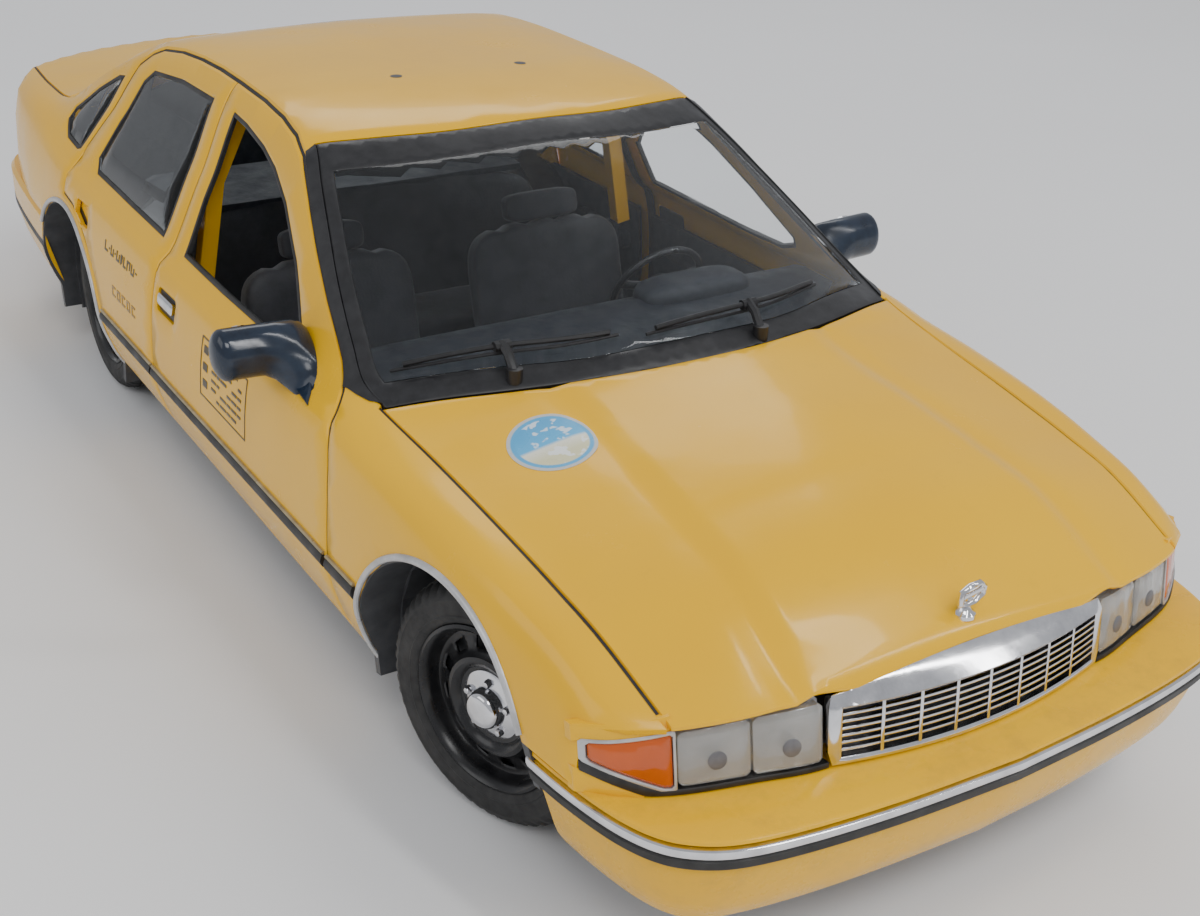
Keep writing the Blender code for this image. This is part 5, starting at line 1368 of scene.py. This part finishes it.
# ---------------------------------------------------------------- tail
def tail_detail():
    """Tail panel, corners, lamps, plate recess and trunk lining."""
    loop = [(x, 0.0) for x in span(-46.6, 46.6, 60)] + [(x, 15.6) for x in span(45.4, -45.4, 60)]
    piece("tail_skin", *sheet(tail_surface, [loop], 1.2, v_scale=1.0, grid=3), PAINT, "car",
          "tail_panel")
    for side, tag in ((1, "left"), (-1, "right")):
        cells = []
        for x0, x1 in ((21.2, 29.2), (29.6, 37.6), (38.0, 45.6)):
            cell = dense(rounded(-x1, 2.6, -x0, 13.2, 0.6),
                         1.0) if side > 0 else dense(rounded(x0, 2.6, x1, 13.2, 0.6), 1.0)
            cells.append(sheet(tail_surface, [cell], 1.1, v_scale=1.0, grid=2, lift=1.3, roll=0.45))
        piece("tail_lens_" + tag, *join(cells), RED, "car", "taillight_" + tag)
        rim = rounded(-46.1, 2.1, -20.7, 13.7, 0.8) if side > 0 else rounded(20.7, 2.1, 46.1, 13.7,
                0.8)
        hole = grow(rim, -0.55)
        piece("tail_bezel_" + tag, *sheet(tail_surface, [dense(rim, 1.0), dense(hole, 1.0)], 1.2,
                                          v_scale=1.0, grid=3, lift=1.35, roll=0.15), BLACK, "car")
    for side, tag in ((1, "left"), (-1, "right")):
        rings = []
        for w in span(0.2, 15.2, 12):
            a = tail_surface(46.2, w)
            z = float(a[2])
            b = body(TAIL_U, side_v(TAIL_U, z))
            ring = [(float(a[0]), float(a[1]) - 0.1, z), (float(b[0]) - 0.15, float(b[1]) - 0.1, z)]
            ring += [(float(b[0]) - 1.2, float(b[1]) - 1.4, z), (float(a[0]), float(a[1]) - 1.4, z)]
            rings.append([(side * abs(x), y, h) for x, y, h in ring])
        fix_normals(piece("tail_corner_" + tag, *sweep(rings), PAINT, "car", smooth=False))
    # Black sheet set back behind the seam between the tail panel and the bumper: painted shade in the seam.
    sill = [(x, -1.6) for x in span(-45.5, 45.5, 40)] + [(x, 0.9) for x in span(45.5, -45.5, 40)]
    piece("tail_seam_shade", *sheet(tail_surface, [sill], 1.0, v_scale=1.0, grid=3, lift=-1.3, roll=0),
          BLACK, "car")
    tub = [block((-45, 93.5, 22.0), (45, 124.0, 23.2)), block((-45, 93.5, 23.3), (45, 94.5, 53.5))]
    tub += [block((min(s * 44.0, s * 45.0), 94.6, 23.3), (max(s * 44.0, s * 45.0), 124.0, 46.0))
            for s in (1, -1)]
    piece("trunk_tub", *join(tub), CABIN, "car", smooth=False)
    plate = dense(rounded(-8.5, 3.6, 8.5, 12.0, 0.8), 1.2)
    piece("plate_recess", *sheet(tail_surface, [plate], 0.6, v_scale=1.0, grid=3, lift=0.6,
                                 roll=0.3), BLACK, "car")


# ---------------------------------------------------------------- wheels
def tyre_solid(side):
    """Tyre turned from a grooved profile."""
    h = TYRE_W / 2
    profile = [(-h + 0.2, 12.7), (-h, 13.6), (-h - 0.15, 14.8), (-h, 16.2), (-h + 0.6, 17.2),
               (-h + 1.5, 17.9), (-h + 2.7, 18.2)]
    grooves = ((-3.0, 0.25), (-1.0, 0.25), (1.0, 0.25), (3.0, 0.25))
    for x, w in grooves:
        profile += [(x - w - 0.02, TYRE_R), (x - w, TYRE_R - 0.6), (x + w, TYRE_R - 0.6),
                    (x + w + 0.02, TYRE_R)]
    profile += [(h - 2.7, 18.2), (h - 1.5, 17.9), (h - 0.6, 17.2), (h - 0.1, 16.4),
                (h + 0.05, 16.0), (h - 0.05, 15.6), (h + 0.12, 14.8), (h + 0.02, 13.9),
                (h + 0.12, 13.7), (h - 0.05, 13.2), (h - 0.3, 12.7), (h - 0.7, 12.35),
                (-h + 0.7, 12.35)]
    sides = 168
    verts, faces = [], []
    for k in range(sides):
        a = 2 * pi * k / sides
        cut = 0.42 if k % 3 == 0 else 0.0
        for x, r in profile:
            shoulder = 17.1 < r < 17.95
            rr = r - (cut if shoulder else (cut * 0.8 if r > 18.1 and abs(x) > 3.2 else 0.0))
            verts.append((side * x, rr * cos(a), rr * sin(a)))
    n = len(profile)
    for i in range(sides):
        for j in range(n):
            a, b = i * n + j, i * n + (j + 1) % n
            c, d = ((i + 1) % sides) * n + (j + 1) % n, ((i + 1) % sides) * n + j
            faces.append((a, b, c, d))
    return verts, faces


def rim_solid(side):
    """Pressed steel wheel: stepped barrel, slotted disc and raised hub, thickened afterwards."""
    h = TYRE_W / 2
    outline = [(-h + 1.0, 11.9), (h - 2.2, 11.9), (h - 0.9, 12.0), (h - 0.35, 12.25),
               (h - 0.25, 12.0), (h - 0.6, 11.6), (h - 1.6, 11.35), (h - 2.4, 11.2),
               (h - 2.9, 10.9), (h - 3.1, 10.3), (h - 3.0, 9.8), (h - 2.75, 9.0), (h - 2.5, 8.2),
               (h - 2.0, 7.6), (h - 1.3, 7.2), (h - 1.15, 6.7), (h - 1.4, 6.2), (h - 2.1, 5.8),
               (h - 2.3, 5.2), (h - 2.3, 1.7)]
    sides = 96
    verts, faces = lathe(outline, sides, closed=False)
    n = len(outline)
    kept = []
    for i in range(sides):
        for j in range(n - 1):
            slot_here = j in (10, 11) and i % 8 in (2, 3, 4, 5)
            if not slot_here:
                kept.append(faces[i * (n - 1) + j])
    verts = [(side * x, y, z) for x, y, z in verts]
    return verts, kept


def wheels():
    """Tyres, rims, caps and brake drums."""
    h = TYRE_W / 2
    for side, tag in ((1, "left"), (-1, "right")):
        for end, x, y, steer, owner in (("front", TRACK_HALF, WHEEL_Y[0], STEER_REST,
                                         "front_wheel_" + tag),
                                        ("rear", REAR_TRACK_HALF, WHEEL_Y[1], 0.0, "rear_wheels")):
            place = Matrix.Translation((side * x, y, WHEEL_Z)) @ Matrix.Rotation(radians(steer), 4,
                    "Z")
            name = end + "_" + tag
            fix_normals(piece("tread_" + name, *moved(tyre_solid(side), place), TYRE, owner,
                              "tyre_" + name, angle=28))
            rim = piece("steel_wheel_" + name, *moved(rim_solid(side), place), RIM, owner,
                        "rim_" + name, angle=40)
            fix_normals(rim)
            mod = rim.modifiers.new("wall", "SOLIDIFY")
            mod.thickness = 0.4 * MM
            mod.offset = 0
            drum = lathe([(h - 5.2, 0.01), (h - 5.2, 10.4), (h - 4.2, 10.4), (h - 4.2, 0.01)], 48,
                         closed=False)
            fix_normals(piece("brake_drum_" + name, *moved(scaled_x(drum, side), place), LINER,
                              owner))
            dish = lathe([(h - 2.35, 1.5), (h - 2.2, 5.1), (h - 1.9, 5.05), (h - 1.55, 4.2),
                          (h - 1.35, 3.0), (h - 0.2, 2.75), (h + 0.35, 2.5), (h + 0.62, 2.1),
                          (h + 0.68, 1.2), (h + 0.7, 0.01)], 48, closed=False)
            parts = [scaled_x(dish, side)]
            for k in range(5):
                a = 2 * pi * (k + 0.25) / 5
                nut = lathe([(h - 2.2, 0.01), (h - 2.2, 0.62), (h - 1.0, 0.62), (h - 0.7, 0.45),
                             (h - 0.6, 0.01)], 6, closed=False)
                nut = moved(scaled_x(nut, side),
                            Matrix.Translation((0, 3.75 * cos(a), 3.75 * sin(a))))
                parts.append(nut)
            fix_normals(piece("hub_cap_" + name, *moved(join(parts), place), CHROME, owner,
                              "cap_" + name, angle=35))


def scaled_x(solid, side):
    """The solid with its x multiplied by side."""
    return [(side * p[0], p[1], p[2]) for p in solid[0]], solid[1]


# ---------------------------------------------------------------- mirrors and prints
def mirror_heads():
    """Door mirror: housing grown out of the window corner, sail plate and glass on the rear face."""
    for side, tag in ((1, "left"), (-1, "right")):
        owner = "front_door_" + tag
        steps = [0, 0.05, 0.1, 0.16, 0.22, 0.3, 0.38, 0.46, 0.55, 0.65, 0.75, 0.82, 0.87, 0.91,
                 0.94, 0.965, 0.985, 1.0]
        rings = [[(side * x, y, z) for x, y, z in mirror_ring(t, 40, -0.3)] for t in steps]
        shell = piece("mirror_shell_" + tag, *sweep(rings), NAVY, owner, "mirror_" + tag, angle=45)
        fix_normals(shell)
        sail = dense([(-52.8, 46.6), (-37.5, 47.2), (-37.0, 50.0), (-39.6, 53.2), (-46.4, 50.0)],
                     1.0)
        plate = sheet(body, [to_uv(sail)], 0.9, lift=0.42, grid=2, roll=0.4)
        piece("mirror_sail_" + tag, *mirrored(plate, side), NAVY, owner)
        rings = []
        for y in (-40.4, -39.75):
            rings.append([(side * (57.3 + 3.5 * cos(2 * pi * k / 40)), y,
                           52.4 + 2.9 * sin(2 * pi * k / 40)) for k in range(40)])
        fix_normals(piece("mirror_glass_" + tag, *sweep(rings), MIRROR_GLASS, owner, smooth=False))


def top_surface(x, y):
    """Point of the hood, roof or deck at (x, y)."""
    x, y = np.broadcast_arrays(np.asarray(x, float), np.asarray(y, float))
    return hood_surface(y, top_v(x, y))


def prints():
    """Hood badge, fare panel and door marks, none of which spells anything."""
    ring = [(-30.2 + 6.2 * cos(2 * pi * k / 64), -85.1 + 6.2 * sin(2 * pi * k / 64))
            for k in range(64)]
    piece("badge_print", *sheet(top_surface, [ring], 0.1, v_scale=1.0, grid=1.5, lift=0.09, roll=0),
          BADGE, "hood")
    for side, tag in ((1, "left"), (-1, "right")):
        front = [bar(-31.6, 42.3, -11.4, 42.5), bar(-31.6, 32.2, -11.4, 32.4),
                 bar(-31.8, 32.2, -31.6, 42.5), bar(-11.5, 32.2, -11.3, 42.5)]
        for i in range(6):
            z = 41.0 - 1.45 * i
            if i % 2 == 0:
                front.append(bar(-14.6, z - 1.0, -12.6, z + 0.3))
            y = -16.6
            for k, width in enumerate((2.0, 1.2, 2.6, 1.6, 2.1, 1.4)):
                if (i + k) % 5:
                    front.append(bar(y - width, z - 0.22, y, z + 0.22))
                y -= width + 0.45
        solid = join(front)
        piece("fare_print_" + tag, *mirrored(solid, side), INK, "front_door_" + tag)
        rear = []
        y = 41.8
        for k, width in enumerate((1.8, 0.5, 1.7, 0.5, 1.8, 1.0, 1.4, 1.8, 1.7, 0.8)):
            if width > 0.8:
                rear.append(bar(y - 0.4, 40.5, y, 42.4))
                low = 42.0 if k % 2 else 40.5
                rear.append(bar(y - width, low, y - 0.4, low + 0.4))
                if k % 3:
                    rear.append(bar(y - width, 40.9, y - width + 0.4, 42.0))
            else:
                rear.append(bar(y - width, 41.3, y, 41.6))
            y -= width + 0.62
        piece("side_print_" + tag, *mirrored(join(rear), side), INK, "rear_door_" + tag)
        faint = []
        for k in range(5):
            y = 37.0 - 2.9 * k
            faint += [bar(y - 0.45, 33.0, y, 35.0), bar(y - 1.9, 34.6, y - 0.45, 35.0),
                      bar(y - 1.9, 33.0, y - 0.45, 33.4)]
            if k % 2:
                faint.append(bar(y - 1.9, 33.4, y - 1.5, 34.6))
        piece("number_print_" + tag, *mirrored(join(faint), side), INK_FAINT, "rear_door_" + tag)


def bar(y0, z0, y1, z1):
    """Thin printed bar on the door."""
    loop = dense([(y0, z0), (y1, z0), (y1, z1), (y0, z1)], 1.5)
    return sheet(body, [to_uv(loop)], 0.08, lift=0.07, grid=30, roll=0)


# ---------------------------------------------------------------- cabin
def pad(lo, hi, crown, channels=0, axis=0, steps=14, power=5.0):
    """Stuffed block with crowned faces, rounded edges and sewn channels across its top and front."""
    c = [(a + b) / 2 for a, b in zip(lo, hi)]
    r = [(b - a) / 2 for a, b in zip(lo, hi)]
    bm = bmesh.new()
    bmesh.ops.create_cube(bm, size=2.0)
    bmesh.ops.subdivide_edges(bm, edges=bm.edges, cuts=steps, use_grid_fill=True)
    for v in bm.verts:
        p = v.co.copy()
        d = (abs(p.x) ** power + abs(p.y) ** power + abs(p.z) ** power) ** (1 / power)
        q = p / d
        bulge = 1 + crown * (1 - q.x ** 2) * (1 - q.y ** 2 if abs(q.y) < 1 else 0)
        s = q[axis]
        groove = 0.0
        if channels:
            phase = (s + 1) / 2 * channels
            near = abs(phase - round(phase))
            if 0 < round(phase) < channels:
                groove = 0.07 * exp(-(near / 0.07) ** 2)
        v.co = Vector((c[0] + r[0] * q.x * (1 - groove * 0.2), c[1] + r[1] * q.y * (bulge - groove),
                       c[2] + r[2] * q.z * (bulge - groove)))
    bm.verts.index_update()
    verts = [tuple(v.co) for v in bm.verts]
    faces = [tuple(v.index for v in f.verts) for f in bm.faces]
    bm.free()
    return verts, faces


def seats():
    """Padded benches with head rests."""
    front = []
    for x0, x1 in ((-39.5, -6.5), (6.5, 39.5)):
        front.append(pad((x0, -23, 14.2), (x1, 4, 23.5), 0.05, 5, 0))
        lean = Matrix.Translation((0, 3.5, 20)) @ Matrix.Rotation(radians(-14), 4,
                "X") @ Matrix.Translation((0, -3.5, -20))
        front.append(moved(pad((x0, 0.5, 20), (x1, 7.0, 45.0), 0.05, 5, 0), lean))
        front.append(moved(pad(((x0 + x1) / 2 - 8, 1.8, 45.6), ((x0 + x1) / 2 + 8, 5.8, 51.0),
                               0.05), lean))
    front.append(pad((-6.2, -21, 14.2), (6.2, 3, 22.0), 0.04))
    obj = piece("bench_front_pads", *join(front), SEAT, "car", "seat_front", angle=60)
    rear = [pad((-39.5, 17.5, 14.2), (39.5, 36, 23.5), 0.05, 6, 0)]
    lean = Matrix.Translation((0, 36, 20)) @ Matrix.Rotation(radians(-16), 4,
            "X") @ Matrix.Translation((0, -36, -20))
    rear.append(moved(pad((-39.5, 33.5, 20), (39.5, 40, 46.0), 0.05, 6, 0), lean))
    obj = piece("bench_rear_pads", *join(rear), SEAT, "car", "seat_rear", angle=60)


def cabin():
    """Dashboard, steering wheel, door cards, posts, headliner and parcel shelf."""
    loop = [(-60.5, 30), (-60.5, 47.0), (-58, 48.4), (-54, 49.2), (-46, 49.6), (-43.0, 49.0),
            (-41.4, 47.6), (-40.6, 45.0), (-41.4, 42.6), (-44.0, 40.6), (-45.5, 37.0), (-46.0, 30)]
    dash = prism(dense(loop, 1.4), -44.0, 44.0, "x")
    hump = pad((9.5, -50, 45.5), (30.5, -41.5, 52.0), 0.02, 0, 0, 10, 4)
    stack = pad((-8.5, -46.5, 27.0), (8.5, -41.2, 45.5), 0.01, 0, 0, 10, 6)
    obj = piece("dash_moulding", *join([dash, hump, stack]), CABIN, "car", "dashboard", angle=40)
    fix_normals(obj)
    column = rod([(20, -46, 41.5), (20, -37.0, 45.5)], 1.5, 14)
    vents = []
    for x in (-38.0, -13.0, 13.0, 38.0):
        for k in range(4):
            vents.append(pad((x - 4.2, -41.6, 43.2 + k * 0.9), (x + 4.2, -40.2, 43.6 + k * 0.9), 0,
                             0, 0, 2, 6))
    fix_normals(piece("dash_vents", *join([column] + vents), BLACK, "car", angle=40))
    tilt = Matrix.Translation((20, -35.2, 46.4)) @ Matrix.Rotation(radians(26), 4,
            "X") @ Matrix.Rotation(radians(90), 4, "Z")
    rings = []
    for k in range(64):
        a = 2 * pi * k / 64
        rings.append([(0.62 * sin(b), (8.5 + 0.62 * cos(b)) * cos(a),
                       (8.5 + 0.62 * cos(b)) * sin(a))
                      for b in [2 * pi * j / 10 for j in range(10)]])
    wheel = sweep(rings, closed_path=True)
    hub = lathe([(-1.0, 0.01), (-1.0, 2.9), (0.4, 2.8), (0.9, 1.8), (1.0, 0.01)], 32, closed=False)
    spokes = [rod([(0.1, 0, 0), (0.2, 8.3 * cos(a), 8.3 * sin(a))], 0.75, 8)
              for a in (0.25, pi - 0.25, -pi / 2)]
    fix_normals(piece("steering_detail", *moved(join([wheel, hub] + spokes), tilt), BLACK, "car",
                      "steering_wheel", angle=50))
    for side, tag in ((1, "left"), (-1, "right")):
        card = dense([(-57, 17.5), (12, 17.5), (12, 41.0), (-57, 41.0)], 2.0)
        solids = [sheet(body, [to_uv(card)], 1.2, lift=-SKIN - 0.6, grid=5)]
        rest = dense(rounded(-34, 30.5, 6, 34.5, 1.6), 2.0)
        solids.append(sheet(body, [to_uv(rest)], 2.4, lift=-SKIN - 1.2, grid=5))
        piece("card_front_detail_" + tag, *mirrored(join(solids), side), CABIN, "front_door_" + tag,
              "card_front_" + tag)
        card = dense([(18, 17.5), (40, 17.5), (43, 28), (50, 38), (54, 41.0), (18, 41.0)], 2.0)
        solids = [sheet(body, [to_uv(card)], 1.2, lift=-SKIN - 0.6, grid=5)]
        rest = dense(rounded(21, 30.5, 41, 34.5, 1.6), 2.0)
        solids.append(sheet(body, [to_uv(rest)], 2.4, lift=-SKIN - 1.2, grid=5))
        piece("card_rear_detail_" + tag, *mirrored(join(solids), side), CABIN, "rear_door_" + tag,
              "card_rear_" + tag)
        top = [Vector((side * 44.6, 14.3, 40)), Vector((side * 41.0, 14.3, 60)),
               Vector((side * 33.6, 14.3, 75.0))]
        piece("b_post_" + tag, *rod(top, 2.0, 4), PAINT, "car", smooth=False)
    roof = sheet(body, [mirror_path([(u, v) for u,
                                     v in [(-18, 9), (-18, 7.25), (10, 7.3), (40, 7.3), (46, 7.5),
                                           (48, 9)]])], 0.6, v_scale=20, lift=-1.9, grid=6, roll=0)
    piece("headliner", *roof, CABIN, "car")
    shelf = prism([(-36, 41.5), (36, 41.5), (37, 66.0), (-37, 66.0)], 44.6, 45.8, "z")
    piece("parcel_shelf", *shelf, CABIN, "car", smooth=False)
    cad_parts["interior_tub"].data.materials[0] = CABIN


def under_hood():
    """Engine top, battery, radiator shroud and hoses seen with the hood up."""
    lid = lathe([(0, 0.01), (0, 8.6), (0.5, 9.0), (1.6, 9.0), (2.0, 8.6), (2.1, 3.0), (2.6, 2.2),
                 (2.6, 0.01)], 48, closed=False)
    lid = moved(lid, Matrix.Translation((0, -100, 37.2)) @ Matrix.Rotation(radians(-90), 4, "Y"))
    fix_normals(piece("air_cleaner_lid", *lid, BLACK, "car", angle=40))
    covers = [pad((s * 11.5 - 3.0, -113, 29), (s * 11.5 + 3.0, -88, 33.5), 0.02, 5, 1, 8, 6)
              for s in (1, -1)]
    fix_normals(piece("valve_covers", *join(covers), IRON, "car", angle=40))
    box = [pad((20, -124, 24), (32, -117, 33), 0.0, 0, 0, 6, 9),
           pad((-23.5, -84, 24), (-15.5, -76, 33), 0.0, 0, 0, 6, 9)]
    for x in (23.0, 29.0):
        box.append(rod([(x, -120.5, 32.5), (x, -120.5, 34.2)], 0.9, 12))
    fix_normals(piece("battery_and_tank", *join(box), BLACK, "car", angle=40))
    shroud = pad((-24, -125.5, 17), (24, -121.5, 35.5), 0.0, 12, 0, 12, 12)
    piece("radiator", *shroud, BLACK, "car", angle=40)
    hoses = [rod([(14, -122, 31), (15, -118, 33), (12, -113, 33.5), (8, -110, 32)], 1.1, 10),
             rod([(-16, -122, 20), (-17, -117, 21), (-15, -112, 22)], 1.1, 10)]
    fix_normals(piece("coolant_hoses", *join(hoses), RUBBER_AND_GAP_SHADE, "car", angle=60))
    wall = [block((-50, -66.2, 13.0), (50, -65.4, 38.0)),
            block((-46.5, -66.2, 38.1), (46.5, -65.4, 46.5))]
    piece("firewall", *join(wall), UNDER, "car", smooth=False)
    for node, mat in (("engine", IRON), ("chassis", LINER), ("knuckle_left", UNDER),
                      ("knuckle_right", UNDER), ("rear_axle", IRON)):
        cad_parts[node].data.materials[0] = mat


painted_panels()
side_strips()
gap_shade_sheets()
arch_liners()
pillar_trims()
arch_lips()
glazing()
wipers()
bumpers()
grille_detail()
lamps()
ornament()
tail_detail()
wheels()
mirror_heads()
prints()
seats()
cabin()
under_hood()


# ---------------------------------------------------------------- floor, lights and camera
FLOOR_HALF = 3         # metres
SKY_COLOUR = (0.93, 0.95, 1.0, 1)
SKY_STRENGTH = 0.55


def floor():
    """Plain pale sheet under the car."""
    mesh = bpy.data.meshes.new("floor")
    h = FLOOR_HALF
    mesh.from_pydata([(-h, -h, 0), (h, -h, 0), (h, h, 0), (-h, h, 0)], [], [(0, 1, 2, 3)])
    look = Looks("floor_paper", "satin_black", 0.8)
    look.colour(look.ramp(look.noise(3, 4), [(0.3, (0.86, 0.86, 0.86)), (0.7, (0.90, 0.90, 0.90))]))
    mesh.materials.append(look.mat)
    obj = bpy.data.objects.new("floor", mesh)
    bpy.context.scene.collection.objects.link(obj)


def softbox(name, place, aim, size, power):
    """Rectangular area light; places and sizes in metres."""
    light = bpy.data.lights.new(name, "AREA")
    light.shape = "RECTANGLE"
    light.size, light.size_y = size
    light.energy = power
    obj = bpy.data.objects.new(name, light)
    obj.location = place
    obj.rotation_euler = (Vector(aim) - Vector(place)).to_track_quat("-Z", "Y").to_euler()
    bpy.context.scene.collection.objects.link(obj)


def lighting():
    """Grey studio with a key light and two long tubes for the gloss."""
    world = bpy.data.worlds.new("studio")
    world.use_nodes = True
    world.node_tree.nodes["Background"].inputs[0].default_value = SKY_COLOUR
    world.node_tree.nodes["Background"].inputs[1].default_value = SKY_STRENGTH
    bpy.context.scene.world = world
    softbox("key", (-0.35, -0.75, 0.95), (0, 0, 0.03), (0.5, 0.35), 3.2)
    softbox("tube_a", (0.10, -0.62, 0.62), (0, -0.05, 0.04), (0.05, 0.55), 1.5)
    softbox("tube_b", (0.42, -0.35, 0.70), (0, 0, 0.04), (0.05, 0.60), 1.4)
    softbox("fill", (-0.9, 0.1, 0.6), (0, 0, 0.03), (0.7, 0.5), 1.6)
    softbox("back", (0.5, 0.9, 0.9), (0, 0.05, 0.04), (0.8, 0.4), 2.4)


CAMERA_PLACE = (-0.128876, -0.249745, 0.145474)      # metres
CAMERA_RIGHT = (0.84873171, -0.52769817, 0.03448364)
CAMERA_UP = (0.21370557, 0.40190169, 0.89039596)
CAMERA_BACK = (-0.48371935, -0.74833794, 0.45387875)
CAMERA_LENS = 47.722
SENSOR = 36.0


def camera():
    """View from in front of the car's right fender, looking down on the hood."""
    data = bpy.data.cameras.new("view")
    data.lens = CAMERA_LENS
    data.sensor_width = SENSOR
    data.clip_start = 0.01
    obj = bpy.data.objects.new("view", data)
    turn = Matrix((CAMERA_RIGHT, CAMERA_UP, CAMERA_BACK)).transposed().to_4x4()
    obj.matrix_world = Matrix.Translation(CAMERA_PLACE) @ turn
    bpy.context.scene.collection.objects.link(obj)
    bpy.context.scene.camera = obj


floor()
lighting()
camera()
